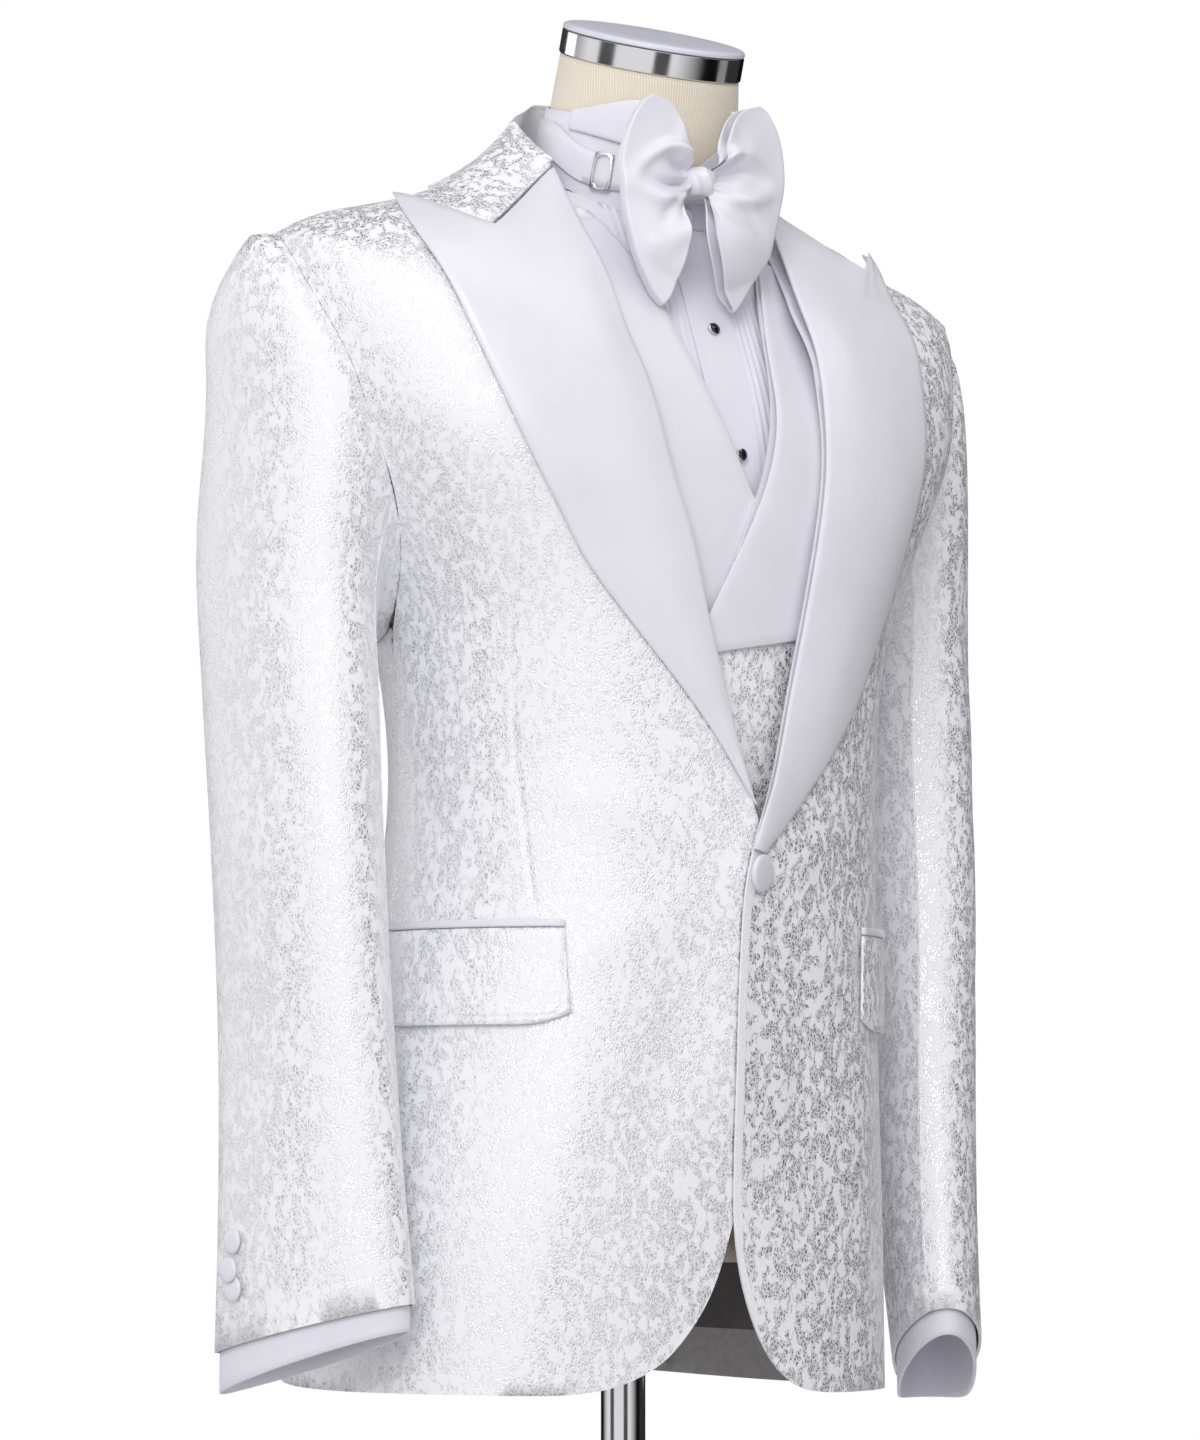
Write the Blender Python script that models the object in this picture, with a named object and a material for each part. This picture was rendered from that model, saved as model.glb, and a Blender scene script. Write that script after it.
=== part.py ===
"""A one-button dinner jacket, waistcoat, dress shirt and bow tie, worn by a dress form.

Metres, +Z up. +X is the wearer's left and the front faces -Y. The origin is the centre
of the stand's underside, on the floor.

Cloth is cut on two blocks, one for the jacket and one for the figure under it. A block
is a stack of rings round the body. A place on it is a turn in degrees round from centre
front, plus to the wearer's left, and a length down from the neck. A panel is a grid of
such places between its seams, given a wall along the block's own outward direction.
"""

import math

import bmesh
import bpy
import numpy as np
from mathutils import Vector

# ---------------------------------------------------------------- driving dimensions
SEAM = 0.0003            # gap between pieces that touch
COAT_CLOTH = 0.0020      # brocade with its fusing
COAT_SATIN = 0.0018      # lapel satin
VEST_CLOTH = 0.0018
VEST_SATIN = 0.0014
SHIRT_CLOTH = 0.0012
CUFF_CLOTH = 0.0022       # a doubled shirt cuff
TIE_CLOTH = 0.0016

RIGHT, LEFT = -1, 1      # the wearer's sides

# Jacket block. Turn 0 is centre front; front, back and half are measured from the
# middle of the ring, and square is 2 for an ellipse and more for a fuller ring.
RING_COLUMNS = ("down", "half", "front", "back", "across", "along",
                "z_front", "z_side", "z_back", "square")
COAT_RINGS = (
    (0.00, 0.078, 0.071, 0.074, 0.000, -0.004, 1.484, 1.547, 1.553, 2.00),
    (0.08, 0.152, 0.104, 0.098, 0.000, 0.000, 1.461, 1.519, 1.532, 2.00),
    (0.16, 0.231, 0.123, 0.116, -0.003, 0.004, 1.425, 1.487, 1.492, 2.20),
    (0.25, 0.221, 0.145, 0.127, -0.002, 0.004, 1.355, 1.400, 1.400, 2.30),
    (0.33, 0.183, 0.149, 0.124, 0.000, 0.000, 1.300, 1.318, 1.318, 2.25),
    (0.40, 0.158, 0.150, 0.108, 0.000, 0.000, 1.243, 1.250, 1.250, 2.20),
    (0.48, 0.152, 0.147, 0.098, 0.000, 0.000, 1.170, 1.170, 1.170, 2.10),
    (0.56, 0.158, 0.143, 0.107, -0.002, 0.000, 1.090, 1.090, 1.090, 2.10),
    (0.65, 0.166, 0.140, 0.145, -0.008, 0.000, 1.000, 1.000, 1.000, 2.15),
    (0.75, 0.174, 0.136, 0.178, -0.013, 0.000, 0.905, 0.905, 0.905, 2.25),
    (0.85, 0.179, 0.130, 0.205, -0.015, 0.000, 0.803, 0.805, 0.818, 2.30),
)
# Figure block: the dress form's own body, from the base of its neck down.
FORM_RINGS = (
    (0.00, 0.066, 0.052, 0.058, 0.000, -0.016, 1.503, 1.530, 1.543, 2.00),
    (0.07, 0.126, 0.078, 0.080, 0.000, -0.004, 1.472, 1.495, 1.508, 2.00),
    (0.13, 0.184, 0.098, 0.094, 0.000, 0.000, 1.432, 1.450, 1.454, 2.20),
    (0.20, 0.176, 0.123, 0.100, 0.000, 0.000, 1.370, 1.380, 1.384, 2.30),
    (0.28, 0.154, 0.130, 0.096, 0.000, 0.000, 1.296, 1.298, 1.300, 2.25),
    (0.37, 0.140, 0.129, 0.080, 0.000, 0.000, 1.210, 1.210, 1.210, 2.20),
    (0.46, 0.134, 0.123, 0.075, 0.000, 0.000, 1.120, 1.120, 1.120, 2.10),
    (0.56, 0.140, 0.116, 0.088, 0.000, 0.000, 1.020, 1.020, 1.020, 2.15),
    (0.65, 0.146, 0.108, 0.112, 0.000, 0.000, 0.930, 0.930, 0.930, 2.20),
    (0.70, 0.144, 0.102, 0.112, 0.000, 0.000, 0.880, 0.880, 0.880, 2.20),
)

# Levels of the jacket's rows, neck to hem. The shoulder tip, the foot of the armhole
# and the hem are rows of their own.
SHOULDER_TIP = 0.16
ARMHOLE_FOOT = 0.39
HEM = 0.85
LEFT_SHOULDER_DROP = 0.0165     # the left shoulder hangs this much lower,
DROP_WIDTH = 0.070              # from the neck's middle out over this width,
DROP_FOOT, DROP_FADE = 1.36, 0.10    # and from this height up over this much more
COAT_ROWS = (0.00, 0.03, 0.06, 0.09, 0.125, SHOULDER_TIP,
             0.185, 0.21, 0.24, 0.27, 0.30, 0.33, 0.362, ARMHOLE_FOOT,
             0.43, 0.47, 0.51, 0.56, 0.61, 0.66, 0.71, 0.75, 0.785, 0.82, HEM)

# Seam between front and its neighbours: down, turn of the front's edge, of the back's.
ARMHOLE_COLUMNS = ("down", "front_turn", "back_turn")
ARMHOLE = (
    (SHOULDER_TIP, 90, 90),
    (0.185, 81, 98),
    (0.21, 75, 105),
    (0.24, 72, 112),
    (0.30, 74, 119),
    (0.33, 78, 121),
    (0.362, 84, 121),
    (ARMHOLE_FOOT, 93, 117),
)
SIDE_SEAMS = (
    (ARMHOLE_FOOT, 93, 117),
    (0.51, 95, 121),
    (0.66, 93, 126),
    (HEM, 90, 131),
)
ARMHOLE_DIP = 0.008      # how far the side panel's top edge sags between its seams

# Front edges, seen from the front: x across, z up. Each starts at the gorge, follows
# the lapel's roll to the button and ends where the front is cut away.
FRONT_EDGE = {
    RIGHT: ((-0.072, 1.537), (-0.080, 1.498), (-0.077, 1.440), (-0.064, 1.388),
            (-0.054, 1.330), (-0.040, 1.270), (-0.025, 1.212), (-0.012, 1.160),
            (0.006, 1.110), (0.010, 1.000), (-0.014, 0.909)),
    LEFT: ((0.074, 1.521), (0.066, 1.490), (0.057, 1.440), (0.053, 1.380),
           (0.042, 1.323), (0.027, 1.262), (0.012, 1.205), (-0.002, 1.150),
           (-0.0155, 1.106), (-0.0185, 1.000), (-0.016, 0.930)),
}
# The cutaway is a quarter of an oval, from the front edge to this place on the hem.
CUTAWAY_FOOT = {RIGHT: (-0.115, 0.8035), LEFT: (0.052, 0.8035)}
OVERLAP_LIFT = 0.0027    # how far the left front's edge stands off the right front
OVERLAP_WIDTH = 60       # degrees round the body over which that lift fades

# Peak lapels: the outer edge from the peak's tip down, and the top edge from the
# gorge through the notch to the tip.
LAPEL_EDGE = {
    RIGHT: ((-0.172, 1.514), (-0.184, 1.466), (-0.173, 1.431), (-0.145, 1.361),
            (-0.112, 1.298), (-0.075, 1.247), (-0.040, 1.202), (-0.017, 1.167),
            (-0.0085, 1.150)),
    LEFT: ((0.156, 1.496), (0.147, 1.458), (0.146, 1.410), (0.134, 1.351),
           (0.115, 1.298), (0.090, 1.244), (0.060, 1.193), (0.024, 1.150),
           (-0.002, 1.122)),
}
# Top edge as places on the block: gorge, half way, notch, then the peak to its tip.
LAPEL_TOP = {
    RIGHT: ((65.5, 0.003), (57.5, 0.048), (51, 0.1005), (68, 0.1015), (86, 0.095)),
    LEFT: ((65.5, 0.003), (57.5, 0.042), (51, 0.089), (62, 0.089), (72, 0.084)),
}
LAPEL_LIFT = 0.0035      # how far the lapel's middle stands off the front
LAPEL_REST = 0.0014      # how far its edges do
PEAK_REST = {RIGHT: 0.0032, LEFT: 0.0085}     # how much further the peak's edges do
ROLL_FOOT = {RIGHT: 1.151, LEFT: 1.124}

# Jacket collar: a folded strip. Each station has the foot of its stand and its leaf's
# edge as places on the jacket block, and its fold as a point.
COLLAR_REST = 0.0024
COLLAR_FALL = 3.6        # how steeply the leaf falls from the fold
COLLAR_END = {RIGHT: 1.0, LEFT: 0.84}       # the left end's leaf is this much shorter
COLLAR_STATIONS = (0, 1, 2, 2.5, 3, 3.5, 4, 5, 5.5, 6, 6.5, 7, 7.5, 8)
COLLAR_COLUMNS = ("foot_turn", "fold_x", "fold_y", "fold_z", "edge_turn", "edge_down")
COLLAR = (
    (70, 0.0745, -0.036, 1.5440, 67.5, 0.0015),
    (74, 0.0765, -0.022, 1.5530, 60.0, 0.043),
    (80, 0.0765, -0.008, 1.5630, 53, 0.0955),
    (88, 0.0740, 0.009, 1.5740, 68, 0.0975),
    (96, 0.0660, 0.019, 1.5790, 77, 0.070),
    (104, 0.0560, 0.028, 1.5830, 88, 0.051),
    (128, 0.0390, 0.046, 1.5905, 113, 0.056),
    (154, 0.0270, 0.057, 1.5955, 145, 0.054),
    (180, 0.0000, 0.060, 1.5965, 180, 0.052),
)

# Pockets, jacket buttons
FLAP_TOP_Z = 1.0815
FLAP_DROP = 0.062
FLAP_FRONT_X = {RIGHT: -0.1105, LEFT: 0.0875}
FLAP_BACK_TURN = {RIGHT: -93.0, LEFT: 84.0}
FLAP_CORNER = 0.007
FLAP_REST = 0.0010
WELT_HEIGHT = 0.0045
WELT_CLOTH = 0.0026       # the welt is a rolled edge, thicker than the flap
FRONT_BUTTON = (-0.004, 1.110)
FRONT_BUTTON_SIZE = 0.022
CUFF_BUTTON_SIZE = 0.0148
BUTTON_COLUMN = -2       # column of the sleeve's points that the cuff buttons follow
# Cuff buttons, top to foot: height, and how far each stands off the sleeve
CUFF_BUTTONS = ((0.893, 0.0), (0.8765, 0.0032), (0.8655, 0.0))
FRONT_BUTTON_THICK = 0.0055
CUFF_BUTTON_THICK = 0.0032

# Sleeve rings from the armhole down. z_out and z_in are the heights of the outer and
# body sides, blend is 0 on the armhole seam and 1 on the sleeve's own oval; fore is
# the half length fore and aft, wide the half width, turned how far the front is in.
SLEEVE_COLUMNS = ("z_out", "z_in", "blend", "x", "y", "fore", "wide", "turned")
SLEEVE = (
    (1.481, 1.262, 0.00, 0.2225, 0.020, 0.076, 0.030, 0),
    (1.497, 1.262, 0.22, 0.2240, 0.020, 0.076, 0.037, 0),
    (1.488, 1.258, 0.50, 0.2255, 0.021, 0.076, 0.042, 1),
    (1.448, 1.252, 0.74, 0.2250, 0.022, 0.075, 0.044, 2),
    (1.400, 1.244, 0.93, 0.2245, 0.023, 0.074, 0.0445, 3),
    (1.335, 1.228, 1.00, 0.2245, 0.024, 0.073, 0.0445, 4),
    (1.260, 1.195, 1.00, 0.2250, 0.020, 0.071, 0.044, 6),
    (1.180, 1.145, 1.00, 0.2265, 0.011, 0.067, 0.041, 9),
    (1.095, 1.080, 1.00, 0.2275, 0.002, 0.064, 0.038, 13),
    (1.005, 0.998, 1.00, 0.2270, -0.006, 0.062, 0.035, 20),
    (0.920, 0.918, 1.00, 0.2280, -0.015, 0.064, 0.031, 26),
    (0.843, 0.843, 1.00, 0.2300, -0.022, 0.067, 0.029, 30),
)
ARM_IN = {RIGHT: 0.0, LEFT: 0.011}   # the left arm hangs this much closer
# Towards the hem, from this height down, the left sleeve is flatter and turned further in
LEFT_FLAT_FROM, LEFT_FLAT_HEIGHT = 1.10, 0.257
LEFT_FLATTER, LEFT_TURNED = 0.05, 0.0
# The hem is this much higher at the front and lower at the back
SLEEVE_HEM_SLANT = {RIGHT: 0.015, LEFT: 0.027}

# Shirt cuff: rings below and inside the jacket sleeve.
CUFF_DROP = 0.0205
CUFF_SLANT = 0.009        # how much further it comes out at the back than at the front
CUFF_INSET = 0.0054
CUFF_HEIGHT = 0.070
SHIRT_SLEEVE_FOOT = 0.22   # how far down the last part of the jacket's sleeve it reaches
CUFF_LOWEST = 0.795       # the cuff's lower edge doesn't hang below this height
SHIRT_SLEEVE_INSET = {RIGHT: 0.0073, LEFT: 0.0057}

# Neck of the form: an upright sleeve between the block's first ring and a tilted top.
NECK_TOP_RADIUS = 0.0560
NECK_TOP_Y = -0.0300
NECK_TOP_Z = 1.6100
NECK_TILT = 18
BAND_HEIGHT = 0.0145
FORM_INSET = 0.0060       # the covered body lies this far inside its block
CAP_HEIGHT = 0.0040
FORM_ROWS = (0.006, 0.03, 0.07, 0.11, 0.16, 0.22, 0.28, 0.36, 0.46, 0.56, 0.65, 0.70)
BAND_PROUD = 0.0004       # how far the band stands out from the neck's rim

# Shirt
PLEATS = 8
PLEAT_PITCH = 0.0046
PLEAT_HEIGHT = 0.0009
PLACKET_WIDTH = 0.031
PLACKET_X = 0.000
SHIRT_HEM = 0.64
SHIRT_ROWS = (0.002, 0.03, 0.07, 0.121, 0.16, 0.211, 0.28, 0.36, 0.46, 0.56, SHIRT_HEM)
SHIRT_SIDE_SHARES = (0.12, 0.3, 0.5, 0.75, 1.0)     # columns between the tucks and the side seam
SHIRT_OUT = 0.0010       # how far the shirt stands off the figure
PLACKET_UNDERLAP = 0.004     # how far each front reaches under the placket's edge
TUCKS_START = 0.0015     # the first tuck's distance from the placket's edge
TUCK_SHARE = 0.80        # share of the pitch over which a tuck rises before it drops
COLLAR_FOOT = 0.025      # the collar band's foot and top, as shares of the neck's height
COLLAR_HEIGHT = 0.60
COLLAR_OUT = 0.0013      # how far the band stands off the neck
STUD_SIZE = 0.0078
STUD_HEIGHTS = (1.438, 1.360)
COLLAR_BUTTON_SIZE = 0.0095

# Waistcoat, seen from the front: x across, z up
VEST_EDGE = {
    RIGHT: ((-0.058, 1.508), (-0.048, 1.483), (-0.037, 1.448), (-0.017, 1.384),
            (0.004, 1.331), (0.020, 1.290), (0.030, 1.240), (0.034, 0.985)),
    LEFT: ((0.052, 1.493), (0.040, 1.465), (0.030, 1.425), (0.024, 1.385),
           (0.004, 1.331), (-0.013, 1.300), (-0.030, 1.268), (-0.043, 1.230),
           (-0.046, 0.985)),
}
VEST_LAPEL_EDGE = {
    RIGHT: ((-0.080, 1.500), (-0.108, 1.460), (-0.108, 1.400), (-0.090, 1.330),
            (-0.060, 1.262)),
    LEFT: ((0.073, 1.480), (0.097, 1.452), (0.102, 1.400), (0.088, 1.330),
           (0.060, 1.257)),
}
VEST_LAPEL_START = 0.007   # its top, down from the front's
VEST_LAPEL_FOOT = {RIGHT: (0.024, 1.262), LEFT: (-0.0405, 1.237)}
VEST_HEM = 0.595
VEST_ROWS = (0.012, 0.03, 0.07, 0.121, 0.16, 0.211, 0.28, 0.36, 0.46, 0.56, VEST_HEM)
# Side edges, down and turn: the armhole's curve, then the side seam.
VEST_ARMHOLE = ((0.075, 88), (0.12, 66), (0.18, 58), (0.24, 66), (0.30, 90), (VEST_HEM, 90))
VEST_BACK_ARMHOLE = ((0.075, 92), (0.12, 112), (0.18, 118), (0.24, 112), (0.30, 90), (VEST_HEM, 90))
VEST_OUT = {RIGHT: 0.0077, LEFT: 0.0140}    # how far each front stands off the figure
VEST_CLOSE = 0.0048      # how much closer the waistcoat lies at the neck
VEST_BACK_EASE = 0.0007  # how much further the back stands off below the neck
VEST_CROSS = 38          # turn past which the left front is down to the right one's level
VEST_LAPEL_REST = 0.0010

# Bow tie: the knot's middle, and each wing's outline from it (across, up)
KNOT = Vector((-0.0085, -0.098, 1.5285))
KNOT_SIZE = (0.0225, 0.0300, 0.021)
KNOT_BACK = 0.42         # the knot's band reaches back to the strap, by this share of its depth
BOW_COLUMNS = ("share", "out", "up")
BOW_TOP = ((0.0, 0.0130, 0.0085), (0.3, 0.0150, 0.025), (0.65, 0.0245, 0.043),
           (1.0, 0.039, 0.052))
BOW_END = ((0.0, 0.039, 0.052), (0.25, 0.054, 0.032), (0.5, 0.060, 0.004),
           (0.75, 0.050, -0.042), (1.0, 0.026, -0.082))
BOW_FOOT = ((0.0, 0.0130, -0.0085), (0.3, 0.0125, -0.028), (0.65, 0.0165, -0.056),
            (1.0, 0.026, -0.082))
BOW_PUFF = 0.009         # how far a wing swells between the knot and its end
BOW_FOLD = 0.0022        # depth of the gathers at the knot
BOW_DEEP = 0.008         # from a wing's front layer to its back one, at the knot
BOW_LEAN_OUT = 0.10      # the wings sweep back by this share of their length
BOW_LEAN_DOWN = 0.22     # and their lower ends come forward by this share of their drop
BOW_SPREAD = {RIGHT: 0.94, LEFT: 1.0}     # the right wing is pulled in a little
BOW_SWING = 0.10         # the wings' lower ends swing this share of their drop to the right
BOW_CLOSE = {RIGHT: 0.0, LEFT: 0.0007}    # the left wing sits this much closer to the knot
STRAP_WIDTH = 0.019
# Height of the strap's middle, front to back: turn, z
STRAP_LEVELS = ((0, 1.5285), (54, 1.538), (95, 1.563), (180, 1.579))
STRAP_DROP = 0.55        # share of the left side's drop that the strap follows
STRAP_OUT = 0.0032
STRAP_CLOTH = 0.0016
SLIDE_TURN = -49
SLIDE_WIDTH = 0.0125
SLIDE_HEIGHT = 0.0225
SLIDE_WIRE = 0.0013
SLIDE_DEGREES = 870       # degrees round the neck to a metre
WING_BACK_TURN = 76
WING_FRONT_TURN = 24
WING_RISE = 0.20

# Stand
POLE_RADIUS = 0.0135
BASE_RADIUS = 0.175
BASE_HEIGHT = 0.022


# ---------------------------------------------------------------- tools
def clear_scene():
    for thing in list(bpy.data.objects):
        bpy.data.objects.remove(thing, do_unlink=True)


def smooth(places, values, at):
    """Monotone cubic through the rows of a table: no overshoot between rows."""
    places = np.asarray(places, float)
    values = np.asarray(values, float)
    at = np.clip(np.asarray(at, float), places[0], places[-1])
    steps = np.diff(places)
    slopes = np.diff(values) / steps
    tangents = np.zeros(len(places))
    tangents[0] = slopes[0]
    tangents[-1] = slopes[-1]
    for i in range(1, len(places) - 1):
        if slopes[i - 1] * slopes[i] > 0:
            near = 2 * steps[i] + steps[i - 1]
            far = steps[i] + 2 * steps[i - 1]
            tangents[i] = (near + far) / (near / slopes[i - 1] + far / slopes[i])
    i = np.clip(np.searchsorted(places, at, side="right") - 1, 0, len(steps) - 1)
    t = (at - places[i]) / steps[i]
    return (values[i] * (1 + 2 * t) * (1 - t) ** 2 + steps[i] * tangents[i] * t * (1 - t) ** 2
            + values[i + 1] * t * t * (3 - 2 * t) + steps[i] * tangents[i + 1] * t * t * (t - 1))


def column(table, names, name):
    return np.array([row[names.index(name)] for row in table], float)


def left_drop(x):
    """How much lower than the right side the left one hangs, this far across."""
    share = np.clip(x / DROP_WIDTH, 0, 1)
    return LEFT_SHOULDER_DROP * share * share * (3 - 2 * share)


class Block:
    """A body surface made of the rings of a table."""

    def __init__(self, rings):
        self.downs = column(rings, RING_COLUMNS, "down")
        self.columns = {name: column(rings, RING_COLUMNS, name) for name in RING_COLUMNS}

    def at(self, name, down):
        return smooth(self.downs, self.columns[name], down)

    def surface(self, turn, down):
        turn, down = np.broadcast_arrays(np.asarray(turn, float), np.asarray(down, float))
        side = np.sin(np.radians(turn))
        face = np.cos(np.radians(turn))
        power = 2 / self.at("square", down)
        x = self.at("across", down) + self.at("half", down) * np.sign(side) * np.abs(side) ** power
        reach = np.abs(face) ** power
        depth = np.where(face > 0, -self.at("front", down), self.at("back", down))
        y = self.at("along", down) + depth * reach
        z_side = self.at("z_side", down)
        z_face = np.where(face > 0, self.at("z_front", down), self.at("z_back", down))
        z = z_side + (z_face - z_side) * face ** 2
        return np.stack([x, y, z - left_drop(x) * np.clip((z - DROP_FOOT) / DROP_FADE, 0, 1)], -1)

    def outward(self, turn, down):
        round_step = 0.5
        down_step = 0.002
        across = self.surface(turn + round_step, down) - self.surface(turn - round_step, down)
        along = self.surface(turn, down + down_step) - self.surface(turn, down - down_step)
        normal = np.cross(along, across)
        return normal / np.linalg.norm(normal, axis=-1, keepdims=True)

    def point(self, turn, down, out=0.0):
        turn = np.asarray(turn, float)
        down = np.asarray(down, float)
        out = np.broadcast_to(np.asarray(out, float), np.broadcast(turn, down).shape)
        return self.surface(turn, down) + out[..., None] * self.outward(turn, down)

    def turn_at(self, x, down):
        """Turn of the front point that is x across, on the ring at this length down."""
        offset = x - self.at("across", down)
        share = np.minimum(np.abs(offset) / self.at("half", down), 1.0)
        return np.sign(offset) * np.degrees(np.arcsin(share ** (self.at("square", down) / 2)))

    def find(self, x, z):
        """Turn and down of the front point that is x across and z up."""
        low, high = self.downs[0], self.downs[-1]
        for _ in range(40):
            down = (low + high) / 2
            if self.surface(self.turn_at(x, down), down)[2] > z:
                low = down
            else:
                high = down
        return float(self.turn_at(x, low)), low


COAT = Block(COAT_RINGS)
FORM = Block(FORM_RINGS)


def places_of(block, outline):
    """Places (turn, down) on a block of an outline given as seen from the front."""
    return np.array([block.find(x, z) for x, z in outline])


def edge_line(places, downs):
    """Places along an edge whose turn depends on how far down it is."""
    return np.stack([smooth(places[:, 1], places[:, 0], downs), downs], -1)


def along_line(places, shares):
    """Places along a line, by share of its length in the table's own rows."""
    steps = np.linspace(0, 1, len(places))
    turns = np.interp(shares, steps, places[:, 0])
    downs = np.interp(shares, steps, places[:, 1])
    return np.stack([turns, downs], -1)


def patch(left, right, shares, top=None, bottom=None, hold=6):
    """Grid of places between two edges. A top or bottom line bends the rows near it."""
    grid = left[:, None, :] * (1 - shares)[None, :, None] + right[:, None, :] * shares[None, :, None]
    rows = np.linspace(0, 1, len(left))[:, None, None]
    if top is not None:
        grid = grid + (1 - rows) ** hold * (top - grid[0])[None]
    if bottom is not None:
        grid = grid + rows ** hold * (bottom - grid[-1])[None]
    return grid


def trim(points, gap=SEAM / 2, first=True, last=True):
    """Draw the first and last columns of a grid in, to leave a gap at a seam."""
    points = points.copy()
    for wanted, edge, inside in ((first, 0, 1), (last, -1, -2)):
        if wanted:
            step = points[:, inside] - points[:, edge]
            points[:, edge] += step * gap / np.linalg.norm(step, axis=-1, keepdims=True)
    return points


def grid_normals(points, closed):
    """Outward directions of a grid whose columns run round it and whose rows run down."""
    if closed:
        across = np.roll(points, -1, axis=1) - np.roll(points, 1, axis=1)
    else:
        across = np.gradient(points, axis=1)
    along = np.gradient(points, axis=0)
    normal = np.cross(along, across)
    return normal / np.linalg.norm(normal, axis=-1, keepdims=True)


def finish(name, mesh_data, material):
    """Put a bmesh into the scene as a named object with its own material."""
    bmesh.ops.recalc_face_normals(mesh_data, faces=mesh_data.faces)
    mesh = bpy.data.meshes.new(name)
    mesh_data.to_mesh(mesh)
    mesh_data.free()
    thing = bpy.data.objects.new(name, mesh)
    bpy.context.scene.collection.objects.link(thing)
    mesh.materials.append(material_of(name, *material))
    mesh.shade_smooth()
    return thing


def material_of(name, colour, roughness, metallic=0.0):
    material = bpy.data.materials.new(name)
    material.use_nodes = True
    shader = material.node_tree.nodes["Principled BSDF"]
    shader.inputs["Base Color"].default_value = (*colour, 1.0)
    shader.inputs["Roughness"].default_value = roughness
    shader.inputs["Metallic"].default_value = metallic
    return material


def wall(name, inner, outer, material, closed=False):
    """A cloth wall between two grids of points, shut along its edges."""
    rows, columns = inner.shape[:2]
    data = bmesh.new()
    sheets = [[[data.verts.new(point) for point in row] for row in sheet]
              for sheet in (inner, outer)]
    around = columns if closed else columns - 1
    for sheet in sheets:
        for i in range(rows - 1):
            for j in range(around):
                k = (j + 1) % columns
                data.faces.new((sheet[i][j], sheet[i][k], sheet[i + 1][k], sheet[i + 1][j]))
    low, high = sheets
    for i in (0, rows - 1):
        for j in range(around):
            k = (j + 1) % columns
            data.faces.new((low[i][j], low[i][k], high[i][k], high[i][j]))
    if not closed:
        for j in (0, columns - 1):
            for i in range(rows - 1):
                data.faces.new((low[i][j], low[i + 1][j], high[i + 1][j], high[i][j]))
    return finish(name, data, material)


def cloth(name, block, grid, out, thickness, material, first=True, last=True):
    """A wall on a block, from a grid of places; out may differ from place to place."""
    turn, down = grid[..., 0], grid[..., 1]
    inner = trim(block.point(turn, down, out), first=first, last=last)
    outer = trim(block.point(turn, down, out + thickness), first=first, last=last)
    return wall(name, inner, outer, material)


def solid(name, rings, material):
    """A closed solid through rings of points, flat at both ends."""
    data = bmesh.new()
    loops = [[data.verts.new(point) for point in ring] for ring in rings]
    count = len(loops[0])
    for upper, lower in zip(loops, loops[1:]):
        for j in range(count):
            k = (j + 1) % count
            data.faces.new((upper[j], upper[k], lower[k], lower[j]))
    data.faces.new(loops[0])
    data.faces.new(loops[-1])
    return finish(name, data, material)


def turned(name, profile, centre, axis, sides, material):
    """A solid of revolution: profile rows are (radius, height) along the axis."""
    axis = Vector(axis).normalized()
    spin = Vector((0, 0, 1)).rotation_difference(axis)
    rings = []
    for radius, height in profile:
        ring = []
        for i in range(sides):
            angle = math.tau * i / sides
            flat = Vector((radius * math.cos(angle), radius * math.sin(angle), height))
            ring.append(Vector(centre) + spin @ flat)
        rings.append(ring)
    return solid(name, rings, material)


# ---------------------------------------------------------------- materials
BROCADE = ((0.80, 0.80, 0.82), 0.55)
SATIN = ((0.88, 0.88, 0.93), 0.32)
COTTON = ((0.92, 0.91, 0.94), 0.75)
KNIT = ((0.80, 0.70, 0.54), 0.85)
CHROME = ((0.75, 0.75, 0.76), 0.12, 1.0)
PAINT = ((0.72, 0.72, 0.76), 0.35)
JET = ((0.01, 0.01, 0.01), 0.15)
PEARL = ((0.90, 0.88, 0.88), 0.25)


def side_name(name, side):
    return name + ("_right" if side == RIGHT else "_left")


# ---------------------------------------------------------------- jacket body
def seam_turns(downs, which):
    """Turn of the front's or the back's outer edge at each length down."""
    table = ARMHOLE + SIDE_SEAMS[1:]
    turns = smooth(column(table, ARMHOLE_COLUMNS, "down"),
                   column(table, ARMHOLE_COLUMNS, which), downs)
    return np.where(np.asarray(downs) < SHOULDER_TIP, 90.0, turns)


def cutaway(side, degrees):
    """Place on the cutaway corner: 0 degrees on the front edge, 90 on the hem."""
    start_x, start_z = FRONT_EDGE[side][-1]
    foot_x, foot_z = CUTAWAY_FOOT[side]
    angle = math.radians(degrees)
    return COAT.find(start_x + (foot_x - start_x) * (1 - math.cos(angle)),
                     start_z + (foot_z - start_z) * math.sin(angle))


def front_grid(side):
    downs = np.array(COAT_ROWS)
    arc = np.array([cutaway(side, degrees) for degrees in (12, 24, 36, 48)])
    edge = np.concatenate([places_of(COAT, FRONT_EDGE[side]), arc])
    edge_downs = edge[0, 1] + downs * (edge[-1, 1] - edge[0, 1]) / HEM
    left = edge_line(edge, edge_downs)
    right = np.stack([side * seam_turns(downs, "front_turn"), downs], -1)
    hem = np.array([cutaway(side, degrees) for degrees in (48, 60, 75, 90)])
    turns = np.append(side * hem[:, 0], side * right[-1, 0])
    levels = np.append(hem[:, 1], HEM)
    shares = np.array((0, 0.05, 0.12, 0.22, 0.34, 0.47, 0.61, 0.75, 0.88, 1.0))
    foot_turns = left[-1, 0] + (right[-1, 0] - left[-1, 0]) * shares
    foot = np.stack([foot_turns, smooth(turns, levels, side * foot_turns)], -1)
    return patch(left, right, shares, bottom=foot)


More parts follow.
